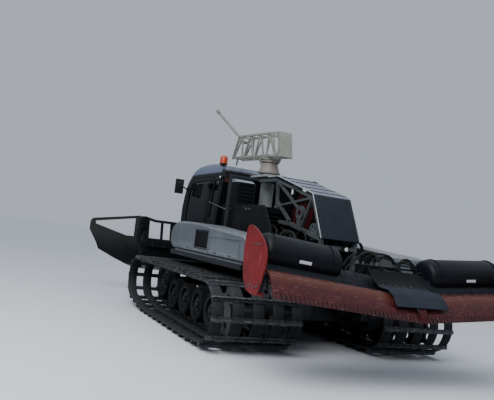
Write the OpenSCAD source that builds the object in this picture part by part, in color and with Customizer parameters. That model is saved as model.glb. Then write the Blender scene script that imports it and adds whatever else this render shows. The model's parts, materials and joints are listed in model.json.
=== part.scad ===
// Snow groomer with winch: tracked vehicle, front blade, rear tiller, slewing winch boom.
// X points forward, Y to the vehicle's left, Z up. The ground is z = 0 under the tracks.
// Places along the vehicle are given as a distance ahead of the drive sprockets' axis.

/* [Tracks] */
// Width over both tracks
track_out_w = 4400; // [4200:50:4500]
// Width of one track
track_w = 1450; // [1350:50:1500]
// Number of aluminium cleats on one track
cleat_count = 36; // [30:1:44]
// Height of a cleat above the belt
cleat_h = 60; // [45:5:65]

/* [Cab] */
// Height of the roof above the ground
roof_z = 2990; // [2960:10:3010]
// Width of the cab at the sill
cab_w = 1950; // [1900:10:1960]
// Thickness of the cab's walls and doors
cab_wall_t = 55; // [45:5:65]

/* [Front blade] */
// Width of the blade without its wings
blade_w = 3000; // [2900:50:3100]
// Length of each wing
wing_len = 1240; // [1100:20:1260]
// Height of the blade's cutting edge, raised
blade_z = 560; // [540:10:620]

/* [Rear tiller] */
// Width of the tiller, with the side finishers folded up
tiller_w = 4400; // [4300:50:4500]
// Upward bend of each tiller half
tiller_bend = 4.5; // [3:0.5:6]
// Height of the rotors' axes at the centre, raised
rotor_z = 1080; // [1060:10:1100]

/* [Winch] */
// Height of the boom's lower chords at the slewing axis
boom_z = 3355; // [3350:5:3400]
// Height of the boom's truss
boom_h = 430; // [400:10:450]
// Width of the boom's truss
boom_w = 260; // [240:10:320]

/* [Hidden] */
$fn = 48;

x_drive = -2242.27;
function ahead(a) = x_drive + a;
pin_gap = 0.5;
run_gap = 6;

// Plates and bars that everything is built from.
module slab(x, y, z) {
    translate([x[0], y[0], z[0]]) cube([x[1] - x[0], y[1] - y[0], z[1] - z[0]]);
}
module side_plate(points, y) {
    translate([0, y[1], 0]) rotate([90, 0, 0]) linear_extrude(y[1] - y[0]) polygon(points);
}
module cross_plate(points, x) {
    translate([x[0], 0, 0]) rotate([90, 0, 90]) linear_extrude(x[1] - x[0]) polygon(points);
}
module plan_plate(points, z) {
    translate([0, 0, z[0]]) linear_extrude(z[1] - z[0]) polygon(points);
}
module bar(p, q, d, n = 12) {
    v = q - p;
    len = norm(v);
    translate(p) rotate([0, acos(v[2] / len), atan2(v[1], v[0])]) cylinder(h = len, d = d, $fn = n);
}
module pin_y(x, z, y, d) {
    translate([x, y[1], z]) rotate([90, 0, 0]) cylinder(h = y[1] - y[0], d = d);
}
module pin_x(x, y, z, d) {
    translate([x[0], y, z]) rotate([0, 90, 0]) cylinder(h = x[1] - x[0], d = d);
}
module pin_z(x, y, z, d) {
    translate([x, y, z[0]]) cylinder(h = z[1] - z[0], d = d);
}
module both_sides() {
    children();
    mirror([0, 1, 0]) children();
}
function unit(a) = [cos(a), sin(a)];
// A flat strut between two points of a 2D drawing.
module strut(p, q, w) {
    v = q - p;
    translate(p) rotate(atan2(v[1], v[0])) translate([0, -w / 2]) square([norm(v), w]);
}
// A convex outline, drawn anticlockwise, moved inwards by d.
function edge_dir(p, q) = (q - p) / norm(q - p);
function left_of(v) = [-v[1], v[0]];
function inset(p, d) = [for (i = [0:len(p) - 1])
    let (n = len(p), a = left_of(edge_dir(p[(i + n - 1) % n], p[i])), b = left_of(edge_dir(p[i], p[(i + 1) % n])))
    p[i] + d * (a + b) / (1 + a * b)];

// Track loop: belts round the drive sprocket, the idler and the end road wheels.
track_in_y = track_out_w / 2 - track_w;
track_mid_y = track_out_w / 2 - track_w / 2;
belt_t = 22;
wheel_r = 300;
wheel_z = cleat_h + belt_t + wheel_r;
sprocket_r = 420;
sprocket_z = 535;
idler_r = 370;
idler_x = ahead(3920);
idler_z = 570;
wheel_x = [for (i = [0:4]) ahead(520 + i * 660)];
// Columns: x, z, radius; in order round the loop, rear bottom first.
loop_rolls = [
    [wheel_x[0], wheel_z, wheel_r],
    [wheel_x[4], wheel_z, wheel_r],
    [idler_x, idler_z, idler_r],
    [ahead(0), sprocket_z, sprocket_r]];
function roll(i) = loop_rolls[i % 4];
function roll_gap(i) = norm([roll(i + 1)[0] - roll(i)[0], roll(i + 1)[1] - roll(i)[1]]);
// Angle of the outward normal on the straight run from roll i to roll i + 1.
function run_angle(i) =
    atan2(roll(i + 1)[1] - roll(i)[1], roll(i + 1)[0] - roll(i)[0])
    - acos((roll(i)[2] - roll(i + 1)[2]) / roll_gap(i));
function turn_at(i) = ((run_angle(i) - run_angle(i + 3)) % 360 + 360) % 360;
function run_len(i) = sqrt(pow(roll_gap(i), 2) - pow(roll(i)[2] - roll(i + 1)[2], 2));
function arc_len(i) = (roll(i)[2] + belt_t) * turn_at(i) * PI / 180;
function on_roll(i, a, out) = [roll(i)[0], roll(i)[1]] + (roll(i)[2] + out) * unit(a);
function loop_points(out, steps = 12) =
    [for (i = [0:3]) for (k = [0:steps]) on_roll(i, run_angle(i + 3) + turn_at(i) * k / steps, out)];
// Lengths of the loop's eight stretches, arc then run, from roll 0 on.
stretches = [for (i = [0:3]) each [arc_len(i), run_len(i)]];
function sum(v, n) = n <= 0 ? 0 : v[n - 1] + sum(v, n - 1);
loop_len = sum(stretches, 8);
function stretch_at(s, n = 0) = s <= sum(stretches, n + 1) || n == 7 ? n : stretch_at(s, n + 1);
// Point on the belt's outer face at distance s, with its outward angle.
function cleat_place(s) =
    let (n = stretch_at(s), i = floor(n / 2), t = s - sum(stretches, n),
        a = n % 2 == 0 ? run_angle(i + 3) + turn_at(i) * t / arc_len(i) : run_angle(i),
        along = n % 2 == 0 ? 0 : t)
    [on_roll(i, a, belt_t) + along * unit(a + 90), a];
belt_count = 5;
belt_w = 180;
cleat_foot = 76;
cleat_tip = 22;
cleat_sink = 6;
module cleat() {
    linear_extrude(track_w) polygon([[-cleat_sink, -cleat_foot / 2], [14, -cleat_foot / 2],
        [cleat_h, -cleat_tip / 2], [cleat_h, cleat_tip / 2], [14, cleat_foot / 2],
        [-cleat_sink, cleat_foot / 2]]);
}
module track() {
    belt_step = (track_w - belt_w) / (belt_count - 1);
    translate([0, track_out_w / 2, 0]) rotate([90, 0, 0]) {
        for (b = [0:belt_count - 1]) translate([0, 0, b * belt_step]) linear_extrude(belt_w)
            difference() {
                polygon(loop_points(belt_t));
                polygon(loop_points(0));
            }
        for (k = [0:cleat_count - 1]) {
            place = cleat_place(loop_len * (k + 0.5) / cleat_count);
            translate([place[0][0], place[0][1], 0]) rotate([0, 0, place[1]]) cleat();
        }
    }
}
module track_left() { color("#26282b") track(); }
module track_right() { color("#26282b") mirror([0, 1, 0]) track(); }

// Rubber-tyred road wheels and idlers, each turned from one section.
tyre_w = 200;
module tyred_wheel(r) {
    rotate([90, 0, 0]) rotate_extrude() polygon([[70, -60], [110, -60], [120, -20], [r - 110, -20],
        [r - 95, -85], [r - 70, -tyre_w / 2], [r - 18, -tyre_w / 2], [r - 4, -tyre_w / 2 + 30],
        [r - 4, tyre_w / 2 - 30], [r - 18, tyre_w / 2], [r - 70, tyre_w / 2], [r - 95, 85],
        [r - 110, 20], [120, 20], [110, 60], [70, 60]]);
}
module road_wheels() {
    color("#1c1d1f") both_sides() {
        for (x = wheel_x) translate([x, track_mid_y, wheel_z]) tyred_wheel(wheel_r);
        translate([idler_x, track_mid_y, idler_z]) tyred_wheel(idler_r);
    }
}
module sprocket() {
    tooth_n = 12;
    rotate([90, 0, 0]) {
        for (z = [-260, 220]) translate([0, 0, z]) linear_extrude(40) difference() {
            polygon([for (k = [0:tooth_n * 4 - 1]) (k % 4 < 2 ? sprocket_r - 4 : sprocket_r - 60)
                * unit(k * 90 / tooth_n)]);
            for (k = [0:5]) rotate(k * 60) translate([230, 0]) circle(r = 60);
        }
        translate([0, 0, -300]) cylinder(h = 600, r = 130);
    }
}
module sprockets() {
    color("#2b2d30") both_sides() translate([ahead(0), track_mid_y, sprocket_z]) sprocket();
}

// Swing arms and axle stubs that carry the wheels, from the side beams out to each hub.
beam_y = [470, 670];
module wheel_arms() {
    arm_y = [beam_y[1], 790];
    color("#33363a") both_sides() {
        for (x = wheel_x) {
            side_plate([[x - 300, 700], [x - 190, 700], [x + 60, 360], [x + 60, 300], [x - 60, 300],
                [x - 60, 400]], arm_y);
            pin_y(x, wheel_z, [arm_y[0], track_mid_y + 70], 2 * (70 - 0.5));
        }
        side_plate([[idler_x - 620, 760], [idler_x - 620, 640], [idler_x, 500], [idler_x + 70, 540],
            [idler_x + 70, 620], [idler_x, 650]], arm_y);
        pin_y(idler_x, idler_z, [arm_y[0], track_mid_y + 70], 2 * (70 - 0.5));
        pin_y(ahead(0), sprocket_z, [beam_y[1], track_mid_y - 300], 300);
    }
}

// Chassis: two side beams, cross plates, belly pan, and the deck over the tracks.
deck_z = [1170, 1250];
lift_pin = [ahead(4060), 640];
lift_barrel_pin = [ahead(4330), 1085];
lift_rod_pin = [ahead(5100), 900];
front_arm_y = [330, 400];
rear_arm_y = [360, 430];
rear_arm_pin = [ahead(200), 650];
top_link_pin = [ahead(200), 970];
rear_barrel_pin = [ahead(150), 1085];
rear_barrel_y = [205, 255];
cross_front = [ahead(3930), ahead(3975)];
cross_rear = [ahead(420), ahead(460)];
module chassis_frame() {
    color("#1f2124") {
        both_sides() {
            side_plate([[ahead(-200), 560], [ahead(4260), 560], [ahead(4420), 760],
                [ahead(4420), 1170], [ahead(-200), 1170]], beam_y);
            slab([ahead(-60), ahead(3300)], [beam_y[0] + 30, 1690], deck_z);
            slab([cross_rear[0], ahead(4200)], [430, beam_y[1]], [430, 570]);
        }
        slab([ahead(-60), ahead(1040)], [-beam_y[1], beam_y[1]], deck_z);
        slab([ahead(2760), ahead(4400)], [-beam_y[1], beam_y[1]], deck_z);
        slab([cross_rear[0], cross_front[1]], [-beam_y[0], beam_y[0]], [430, 470]);
        for (x = [cross_rear, cross_front]) slab(x, [-beam_y[0], beam_y[0]], [430, 1175]);
    }
}
// Hinge plates of the arms and cylinders, and the tow eyes, set against the chassis.
front_arm_lug = [[cross_front[1], 570], [ahead(4110), 570], [ahead(4150), 620], [ahead(4140), 700],
    [ahead(4060), 780], [ahead(4040), 1170], [cross_front[1], 1170]];
front_barrel_lug = [[ahead(4230), 1170], [ahead(4250), 1070], [ahead(4295), 1030], [ahead(4365), 1030],
    [ahead(4400), 1070], [ahead(4400), 1170]];
rear_arm_lug = [[cross_rear[0], 580], [cross_rear[0], 720], [ahead(170), 720], [ahead(130), 680],
    [ahead(130), 620], [ahead(170), 580]];
rear_barrel_lug = [[ahead(80), 1170], [ahead(90), 1060], [ahead(120), 1030], [ahead(180), 1030],
    [ahead(210), 1060], [ahead(220), 1170]];
top_link_lug = [[cross_rear[0], 890], [cross_rear[0], 1050], [ahead(170), 1040], [ahead(130), 1000],
    [ahead(130), 940], [ahead(170), 890]];
front_barrel_y = [317, 413];
module frame_lugs() {
    color("#1f2124") difference() {
        union() {
            both_sides() {
                lug_pair(front_arm_y, 40) polygon(front_arm_lug);
                lug_pair(front_barrel_y, 40) polygon(front_barrel_lug);
                lug_pair(rear_arm_y, 34) polygon(rear_arm_lug);
                lug_pair([rear_barrel_y[0] - 19, rear_barrel_y[1] + 19], 20) polygon(rear_barrel_lug);
                side_plate([[ahead(4420), 800], [ahead(4480), 800], [ahead(4530), 850], [ahead(4530), 930],
                    [ahead(4480), 980], [ahead(4420), 980]], tow_y);
                side_plate([[ahead(-200), 1025], [ahead(-200), 1165], [ahead(-270), 1165], [ahead(-310), 1130],
                    [ahead(-310), 1060], [ahead(-270), 1025]], tow_y);
            }
            lug_pair([-25, 25], 30) polygon(top_link_lug);
        }
        both_sides() {
            lug_hole(lift_pin, front_arm_y, 35);
            lug_hole(lift_barrel_pin, front_arm_y, 25);
            lug_hole(rear_arm_pin, rear_arm_y, 35);
            lug_hole(rear_barrel_pin, rear_barrel_y, 20);
        }
        lug_hole(top_link_pin, [-25, 25], 25);
        both_sides() for (p = tow_eyes) pin_y(p[0], p[1], [tow_y[0] - 5, tow_y[1] + 5], 2 * tow_r);
    }
}
tow_y = [540, 600];
tow_r = 26;
tow_eyes = [[ahead(4470), 890], [ahead(-255), 1095]];
// Two equal plates, one on each side of a moving arm that lies at y.
module lug_pair(y, t) {
    for (side = [y[0] - run_gap, y[1] + run_gap + t]) translate([0, side, 0])
        rotate([90, 0, 0]) linear_extrude(t) children();
}
module lug_hole(pin, y, r) {
    pin_y(pin[0], pin[1], [y[0] - 60, y[1] + 60], 2 * (r + pin_gap));
}
// A hydraulic cylinder's barrel and rod between two pins of the side view.
module barrel_on(p, q, y, r, len, pin_r, pin_y_span) {
    v = q - p;
    mid = (y[0] + y[1]) / 2;
    translate([p[0], mid, p[1]]) rotate([0, -atan2(v[1], v[0]), 0]) {
        rotate([90, 0, 0]) translate([0, 0, mid - y[1]]) cylinder(h = y[1] - y[0], r = pin_r + 28);
        rotate([0, 90, 0]) translate([0, 0, 10]) cylinder(h = pin_r + 30, r = r - 4);
        rotate([0, 90, 0]) translate([0, 0, pin_r + 37]) barrel_tube(len - pin_r - 37, r);
    }
    pin_y(p[0], p[1], pin_y_span, 2 * pin_r);
}
module barrel_tube(len, r) {
    difference() {
        cylinder(h = len, r = r);
        translate([0, 0, 12]) cylinder(h = len, r = rod_r + pin_gap);
    }
}
rod_r = 26;
eye_bore = 40;
module rod_on(p, q, y, start) {
    v = q - p;
    mid = (y[0] + y[1]) / 2;
    translate([p[0], mid, p[1]]) rotate([0, -atan2(v[1], v[0]), 0]) difference() {
        union() {
            rotate([0, 90, 0]) translate([0, 0, start]) cylinder(h = norm(v) - start - eye_bore - 5, r = rod_r);
            translate([norm(v), 0, 0]) rotate([90, 0, 0]) translate([0, 0, mid - y[1]])
                cylinder(h = y[1] - y[0], r = eye_bore + 18);
        }
        translate([norm(v), 0, 0]) rotate([90, 0, 0]) translate([0, 0, -60]) cylinder(h = 120, r = eye_bore);
    }
}
module lift_barrels() {
    color("#2a2c2f") both_sides()
        barrel_on(lift_barrel_pin, lift_rod_pin, [340, 390], 48, 590, 25,
            [front_arm_y[0] - 55, front_arm_y[1] + 55]);
}
module lift_rods() {
    color("#b9bcc0") both_sides() rod_on(lift_barrel_pin, lift_rod_pin, [340, 390], 135);
}
module tiller_barrels() {
    color("#2a2c2f") both_sides()
        barrel_on(rear_barrel_pin, rear_rod_pin, rear_barrel_y, 44, 470, 20,
            [rear_barrel_y[0] - 42, rear_barrel_y[1] + 42]);
}
module tiller_rods() {
    color("#b9bcc0") both_sides() rod_on(rear_barrel_pin, rear_rod_pin, rear_barrel_y, 76);
}

// Side pods over the tracks: storage and cooling boxes with a rounded nose.
pod_y = [1010, 1700];
pod_outline = [[ahead(-180), 1290], [ahead(3150), 1290], [ahead(3290), 1370], [ahead(3345), 1480],
    [ahead(3330), 1600], [ahead(3240), 1710], [ahead(3060), 1790], [ahead(2800), 1822],
    [ahead(2350), 1822], [ahead(-60), 1665], [ahead(-150), 1630], [ahead(-180), 1560]];
pod_top_edge = [[pod_y[1] - 70, 1900], [pod_y[1] + 10, 1900], [pod_y[1] + 10, 1740]];
module side_pods() {
    color("#8b9097") both_sides() difference() {
        union() {
            side_plate(pod_outline, pod_y);
            slab([ahead(-60), ahead(3060)], [pod_y[0] + 40, 1680], [deck_z[1], 1295]);
        }
        side_plate(inset(pod_outline, 25), [pod_y[0] + 25, pod_y[1] - 180]);
        slab([ahead(1350), ahead(1930)], [pod_y[1] - 120, pod_y[1] + 1], [1390, 1680]);
        slab([ahead(60), ahead(1250)], [pod_y[1] - 14, pod_y[1] + 1], [1360, 1600]);
        cross_plate(pod_top_edge, [ahead(-200), ahead(3400)]);
    }
}

// Cab: a hollow shell, the side view and the front view crossing each other.
// The roof rises from its rear edge to a crown over the seats.
crown_z = roof_z + 175;
cab_side = [[ahead(2900), 1255], [ahead(4690), 1255], [ahead(4850), 1480], [ahead(5010), 1800],
    [ahead(5080), 2150], [ahead(5060), 2430], [ahead(5010), 2620], [ahead(4930), 2790],
    [ahead(4845), crown_z - 265], [ahead(4745), crown_z - 155], [ahead(4600), crown_z - 72],
    [ahead(4400), crown_z - 18], [ahead(4150), crown_z], [ahead(3800), crown_z - 10],
    [ahead(3500), crown_z - 60], [ahead(3250), crown_z - 125], [ahead(3050), roof_z - 8],
    [ahead(2920), roof_z - 50], [ahead(2870), roof_z - 170]];
cab_half = cab_w / 2;
cab_front = [[-cab_half + 10, 1255], [cab_half - 10, 1255], [cab_half, 1900], [cab_half - 50, 2700],
    [cab_half - 80, roof_z - 110], [cab_half - 105, crown_z - 165], [cab_half - 155, crown_z - 65],
    [cab_half - 240, crown_z], [-cab_half + 240, crown_z], [-cab_half + 155, crown_z - 65],
    [-cab_half + 105, crown_z - 165], [-cab_half + 80, roof_z - 110], [-cab_half + 50, 2700],
    [-cab_half, 1900]];
module cab_solid(d) {
    intersection() {
        side_plate(inset(cab_side, d), [-1100, 1100]);
        cross_plate(inset(cab_front, d), [ahead(2700), ahead(5200)]);
    }
}
door_outline = [[ahead(3425), 1310], [ahead(4560), 1310], [ahead(4690), 1480], [ahead(4820), 1800],
    [ahead(4880), 2150], [ahead(4870), 2430], [ahead(4830), 2620], [ahead(4740), 2760], [ahead(4580), 2830],
    [ahead(3425), 2850]];
door_window = [[ahead(3510), 1830], [ahead(4750), 1830], [ahead(4795), 2150], [ahead(4785), 2420],
    [ahead(4745), 2590], [ahead(4670), 2700], [ahead(4540), 2755], [ahead(3510), 2770]];
rear_side_window = [[ahead(3000), 1950], [ahead(3330), 1950], [ahead(3330), 2760], [ahead(3000), 2760]];
windscreen = [[-cab_half + 130, 1830], [cab_half - 130, 1830], [cab_half - 160, 2780], [-cab_half + 160, 2780]];
rear_window = [[-640, 2330], [640, 2330], [640, 2760], [-640, 2760]];
module cab_openings() {
    cross_plate(windscreen, [ahead(4700), ahead(5200)]);
    cross_plate(rear_window, [ahead(2800), ahead(3000)]);
    both_sides() side_plate(rear_side_window, [800, 1100]);
}
module cab_shell() {
    color("#22262c") difference() {
        union() {
            difference() {
                cab_solid(0);
                cab_solid(cab_wall_t);
                cab_openings();
                both_sides() side_plate(inset(door_outline, -run_gap), [780, 1100]);
            }
            both_sides() for (z = door_hinge_z) cab_hinge(z);
        }
    }
}
door_pin = [ahead(3400), 1002];
door_hinge_z = [1480, 2560];
module cab_hinge(z) {
    for (dz = [0, 96]) slab([ahead(3345), door_pin[0] + 18], [cab_half - 60, door_pin[1] + 18], [z + dz, z + dz + 24]);
    pin_z(door_pin[0], door_pin[1], [z, z + 120], 24);
}
module door() {
    difference() {
        intersection() {
            difference() {
                cab_solid(0);
                cab_solid(cab_wall_t);
            }
            side_plate(door_outline, [780, 1100]);
        }
        side_plate(door_window, [700, 1100]);
    }
    difference() {
        for (z = door_hinge_z) {
            slab([door_pin[0], ahead(3470)], [door_pin[1] - 22, door_pin[1] + 10], [z + 30, z + 90]);
            slab([ahead(3432), ahead(3470)], [z < 2000 ? cab_half - 45 : cab_half - 75, door_pin[1]],
                [z + 30, z + 90]);
            pin_z(door_pin[0], door_pin[1], [z + 30, z + 90], 44);
        }
        pin_z(door_pin[0], door_pin[1], [1300, 2900], 24 + 2 * pin_gap);
    }
}
module door_pane() {
    intersection() {
        difference() {
            cab_solid(14);
            cab_solid(20);
        }
        side_plate(door_window, [700, 1100]);
    }
}
module door_left() { color("#22262c") door(); }
module door_right() { color("#22262c") mirror([0, 1, 0]) door(); }
module door_left_glass() { color("#8fa3ad") door_pane(); }
module door_right_glass() { color("#8fa3ad") mirror([0, 1, 0]) door_pane(); }
module cab_glass() {
    color("#8fa3ad") intersection() {
        difference() {
            cab_solid(14);
            cab_solid(20);
        }
        cab_openings();
    }
}
// Columns: x, y of the seat's middle.
seats = [[3700, 380], [3700, -380]];
module cab_interior() {
    color("#2b2c2e") {
        slab([ahead(2970), ahead(4640)], [-880, 880], [1312, 1340]);
        for (s = seats) translate([ahead(s[0]), s[1], 0]) {
            slab([-200, 200], [-180, 180], [1335, 1600]);
            slab([-260, 270], [-260, 260], [1600, 1730]);
            slab([-340, -220], [-250, 250], [1700, 2330]);
            slab([-330, -250], [-130, 130], [2330, 2530]);
        }
        slab([ahead(3560), ahead(4050)], [-95, 95], [1335, 1850]);
        side_plate([[ahead(4360), 1335], [ahead(4630), 1335], [ahead(4860), 1740], [ahead(4640), 1840],
            [ahead(4500), 1790]], [-850, 850]);
        translate([ahead(4420), 380, 1890]) rotate([0, -55, 0]) steering_wheel();
    }
}

module steering_wheel() {
    rotate_extrude() translate([175, 0]) circle(r = 14);
    for (k = [0:2]) rotate(k * 120) translate([0, -15, -8]) cube([175, 30, 16]);
    translate([0, 0, -330]) cylinder(h = 330, d = 60);
}

// Engine hood behind the cab, with two side panels that flank the winch, and the engine block in it.
hood_half = 880;
hood_side = [[ahead(1450), 1255], [ahead(2840), 1255], [ahead(2840), 2250], [ahead(1450), 2250]];
hood_wing = [[ahead(660), 1255], [ahead(1455), 1255], [ahead(1455), 2250], [ahead(1020), 2250],
    [ahead(720), 1930], [ahead(660), 1830]];
module engine_hood() {
    color("#2a2d31") {
        difference() {
            side_plate(hood_side, [-hood_half, hood_half]);
            side_plate([[ahead(1480), 1200], [ahead(2810), 1200], [ahead(2810), 2215], [ahead(1480), 2215]],
                [-hood_half + 30, hood_half - 30]);
            for (y = [-560, -190, 180]) for (z = [0:4])
                slab([ahead(1440), ahead(1490)], [y, y + 380 - 40], [1820 + z * 72, 1850 + z * 72]);
        }
        both_sides() side_plate(hood_wing, [hood_half - 30, hood_half]);
    }
}
module engine_block() { color("#5a5d60") slab([ahead(1500), ahead(2740)], [-370, 370], [640, 1800]); }

// Air intake box and exhaust pipe on the hood.
module intake_box() {
    color("#2e3136") {
        difference() {
            slab([ahead(2260), ahead(2800)], [470, 850], [2250, 2700]);
            for (k = [0:4]) slab([ahead(2240), ahead(2275)], [510, 810], [2310 + k * 74, 2346 + k * 74]);
        }
        translate([0, 850, 2700]) rotate([90, 0, 0]) linear_extrude(380) intersection() {
            translate([ahead(2260), 0]) square([540, 70]);
            translate([ahead(2530), -250]) circle(r = 320);
        }
    }
}
module exhaust_pipe() {
    color("#6d7073") {
        pin_z(ahead(2060), -660, [2250, 2700], 170);
        translate([ahead(2060), -660, 2690]) rotate([0, -28, 0]) difference() {
            cylinder(h = 230, d = 130);
            translate([0, 0, 80]) cylinder(h = 200, d = 112);
        }
    }
}

// Winch frame: posts behind the cab, a column, and two side frames with the drum between them.
slew_x = ahead(2725);
drum_x = ahead(720);
drum_z = 2190;
frame_y = [300, 350];
post_x = [ahead(2435), ahead(2485)];
module winch_frame() {
    color("#9b9e9f") {
        both_sides() {
            slab(post_x, [910, 955], [deck_z[1], 2810]);
            slab([ahead(2350), ahead(2490)], [hood_half + 4, 990], [deck_z[1], 1275]);
            difference() {
                translate([0, frame_y[1], 0]) rotate([90, 0, 0]) linear_extrude(frame_y[1] - frame_y[0]) {
                    strut([ahead(1590), 2252], [ahead(1590), 2310], 130);
                    strut([ahead(1590), 2300], [ahead(1662), 2790], 46);
                    strut([ahead(2440), 2800], [ahead(1640), 2790], 56);
                    strut([ahead(1670), 2780], [ahead(340), 2440], 46);
                    strut([ahead(1590), 2300], [ahead(370), 2440], 36);
                    strut([ahead(1600), 2385], [ahead(1060), 2040], 50);
                    strut([ahead(345), 2440], [ahead(-20), 1800], 56);
                    strut([ahead(-20), 1810], [ahead(-20), 1252], 80);
                    strut([ahead(-20), 1780], [ahead(1060), 2000], 66);
                    strut([ahead(1040), 1990], [ahead(1432), 2020], 66);
                    strut([ahead(1662), 2770], [ahead(800), 2270], 36);
                    strut([drum_x, 2170], [drum_x, 1940], 110);
                    strut([ahead(370), 2440], [ahead(640), 1930], 36);
                    translate([drum_x, drum_z]) circle(r = 120);
                }
                pin_y(drum_x, drum_z, [290, 360], 2 * (50 + pin_gap));
            }
        }
        slab(post_x, [-955, 955], [2790, 2840]);
        slab([ahead(2510), ahead(2838)], [-380, 380], [2252, 2300]);
        pin_z(slew_x, 0, [2290, 2885], 280);
        slab([ahead(2110), ahead(2860)], [-340, 340], [2880, 2920]);
        pin_z(slew_x, 0, [2915, 3060], 300);
        slab([ahead(-60), ahead(20)], [-300, 300], [1252, 1320]);
        slab([ahead(-50), ahead(0)], [-300, 300], [1640, 1700]);
        slab([ahead(310), ahead(380)], [-300, 300], [2400, 2450]);
        for (y = [frame_y[0] - 34, -frame_y[1] - 34])
            translate([ahead(300), y, 1890]) rotate([-90, 0, 0]) sheave();
    }
}
module sheave() {
    difference() {
        cylinder(h = 34, r = 140);
        for (k = [0:4]) rotate(k * 72) translate([84, 0, -1]) cylinder(h = 36, r = 24);
    }
    translate([0, 0, 34]) cylinder(h = 10, r = 40);
}
// Valve blocks and hoses that lie open between the hood's side panels, under the winch.
module hose_arc(x, y, turn, r, z) {
    translate([x, y, z]) rotate(turn) rotate([90, 0, 0]) rotate_extrude(angle = 180) translate([r, 0]) circle(r = 20);
}
// Columns: distance ahead, y, turn about the upright, radius, z of the ends.
winch_hoses = [[1100, 372, 20, 150, 1700], [960, 600, -30, 150, 1700], [1230, 700, 60, 110, 1700],
    [720, 500, 80, 160, 1700], [360, 680, 15, 150, 1680], [1080, -460, -20, 150, 1700],
    [760, -640, 70, 150, 1700], [360, -600, 30, 150, 1680]];
module winch_hydraulics() {
    color("#17191b") {
        both_sides() {
            slab([ahead(560), ahead(1440)], [300, 840], [1250, 1700]);
            slab([ahead(180), ahead(540)], [420, 860], [1250, 1680]);
        }
        slab([ahead(120), ahead(1440)], [-360, 360], [1250, 1560]);
        for (h = winch_hoses) hose_arc(ahead(h[0]), h[1], h[2], h[3], h[4]);
    }
}
module slew_pedestal() {
    color("#c9c6bd") difference() {
        union() {
            pin_z(slew_x, 0, [2998, 3030], 460);
            translate([slew_x, 0, 3025]) cylinder(h = 210, d1 = 430, d2 = 290);
            pin_z(slew_x, 0, [3230, 3280], 380);
            for (y = [-46, 24]) slab([ahead(2880), ahead(3020)], [y, y + 22], [3028, 3110]);
        }
        pin_z(slew_x, 0, [2990, 3066], 300 + 2 * pin_gap);
        pin_y(brace_foot[0], brace_foot[1], [-60, 60], 30 + 2 * pin_gap);
    }
}
brace_foot = [ahead(2985), 3072];
// Sheet cover over the winch: a sloping roof and a rear panel.
module winch_cover() {
    cover_y = 370;
    color("#5b6168") {
        side_plate([[ahead(2000), 2846], [ahead(2000), 2864], [ahead(1590), 2862], [ahead(330), 2530],
            [ahead(296), 2500], [ahead(-92), 1800], [ahead(-76), 1790], [ahead(314), 2492], [ahead(340), 2512],
            [ahead(1594), 2844]], [-cover_y, cover_y]);
    }
}
drum_y = 290;
module winch_drum() {
    color("#a3231f") translate([drum_x, 0, drum_z]) rotate([90, 0, 0]) {
        for (y = [-drum_y, drum_y - 25]) translate([0, 0, y]) cylinder(h = 25, r = 330);
        translate([0, 0, -drum_y]) cylinder(h = 2 * drum_y, r = 230);
        translate([0, 0, -350]) cylinder(h = 700, r = 50);
    }
}

// Slewing boom: a box truss of tubes on a turntable, with a rear panel and a tip rod.
boom_half = boom_w / 2;
bays = 4;
function low_chord(t) = [ahead(2170 + 2220 * t), boom_z - 25 + 100 * t];
function high_chord(t) = [ahead(2485 + 1655 * t), boom_z + boom_h + 25 + 90 * t];
function at_y(p, y) = [p[0], y, p[1]];
// A flat lattice of square tubes, t thick, in the middle of one side of the boom.
module boom_side(t) {
    translate([0, boom_half + t / 2, 0]) rotate([90, 0, 0]) linear_extrude(t) children();
}
module boom() {
    color("#c5c8c0") difference() {
        boom_tubes();
        pin_y(ahead(6070), 4796, [-60, 60], 30);
    }
}
module boom_tubes() {
    union() {
        both_sides() {
            boom_side(44) {
                strut(low_chord(-0.01), low_chord(1.01), 48);
                strut([ahead(2240), boom_z + boom_h - 10], high_chord(0), 40);
                strut(high_chord(-0.01), high_chord(1), 42);
                strut(high_chord(1) + [0, 20], low_chord(1) - [0, 24], 40);
            }
            boom_side(28) {
                strut(high_chord(0), low_chord(0.06), 30);
                for (k = [0:bays - 1]) {
                    strut(low_chord((k + 0.1) / bays), high_chord((k + 0.5) / bays), 28);
                    strut(high_chord((k + 0.5) / bays), low_chord((k + 0.9) / bays), 28);
                }
            }
        }
        for (k = [1:bays]) {
            pin_y(low_chord(k / bays)[0], low_chord(k / bays)[1], [-boom_half, boom_half], 30);
            pin_y(high_chord(k / bays)[0], high_chord(k / bays)[1], [-boom_half, boom_half], 30);
        }
        side_plate([[ahead(2060), 3300], [ahead(2140), 3292], [ahead(2290), 3805], [ahead(2212), 3812]],
            [-boom_half - 10, boom_half + 10]);
        slab([ahead(2570), ahead(2880)], [-boom_half - 30, boom_half + 30], [3296, 3345]);
        pin_z(slew_x, 0, [3280, 3300], 420);
        bar([ahead(4130), 0, 3782], [ahead(6110), 0, 4820], 60, 12);
        bar([ahead(5960), 0, 4741.4], [ahead(6110), 0, 4820], 90, 12);
        slab([ahead(4120), ahead(4215)], [-boom_half, boom_half], [3775, 3825]);
        bar([ahead(4400), 0, 3430], [ahead(4446), 0, 3285], 40, 8);
        bar([low_chord(0.5)[0], 0, low_chord(0.5)[1]], [brace_foot[0], 0, brace_foot[1]], 44, 12);
        pin_y(brace_foot[0], brace_foot[1], [-22, 22], 64);
        pin_y(brace_foot[0], brace_foot[1], [-46, 46], 30);
    }
}

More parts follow.
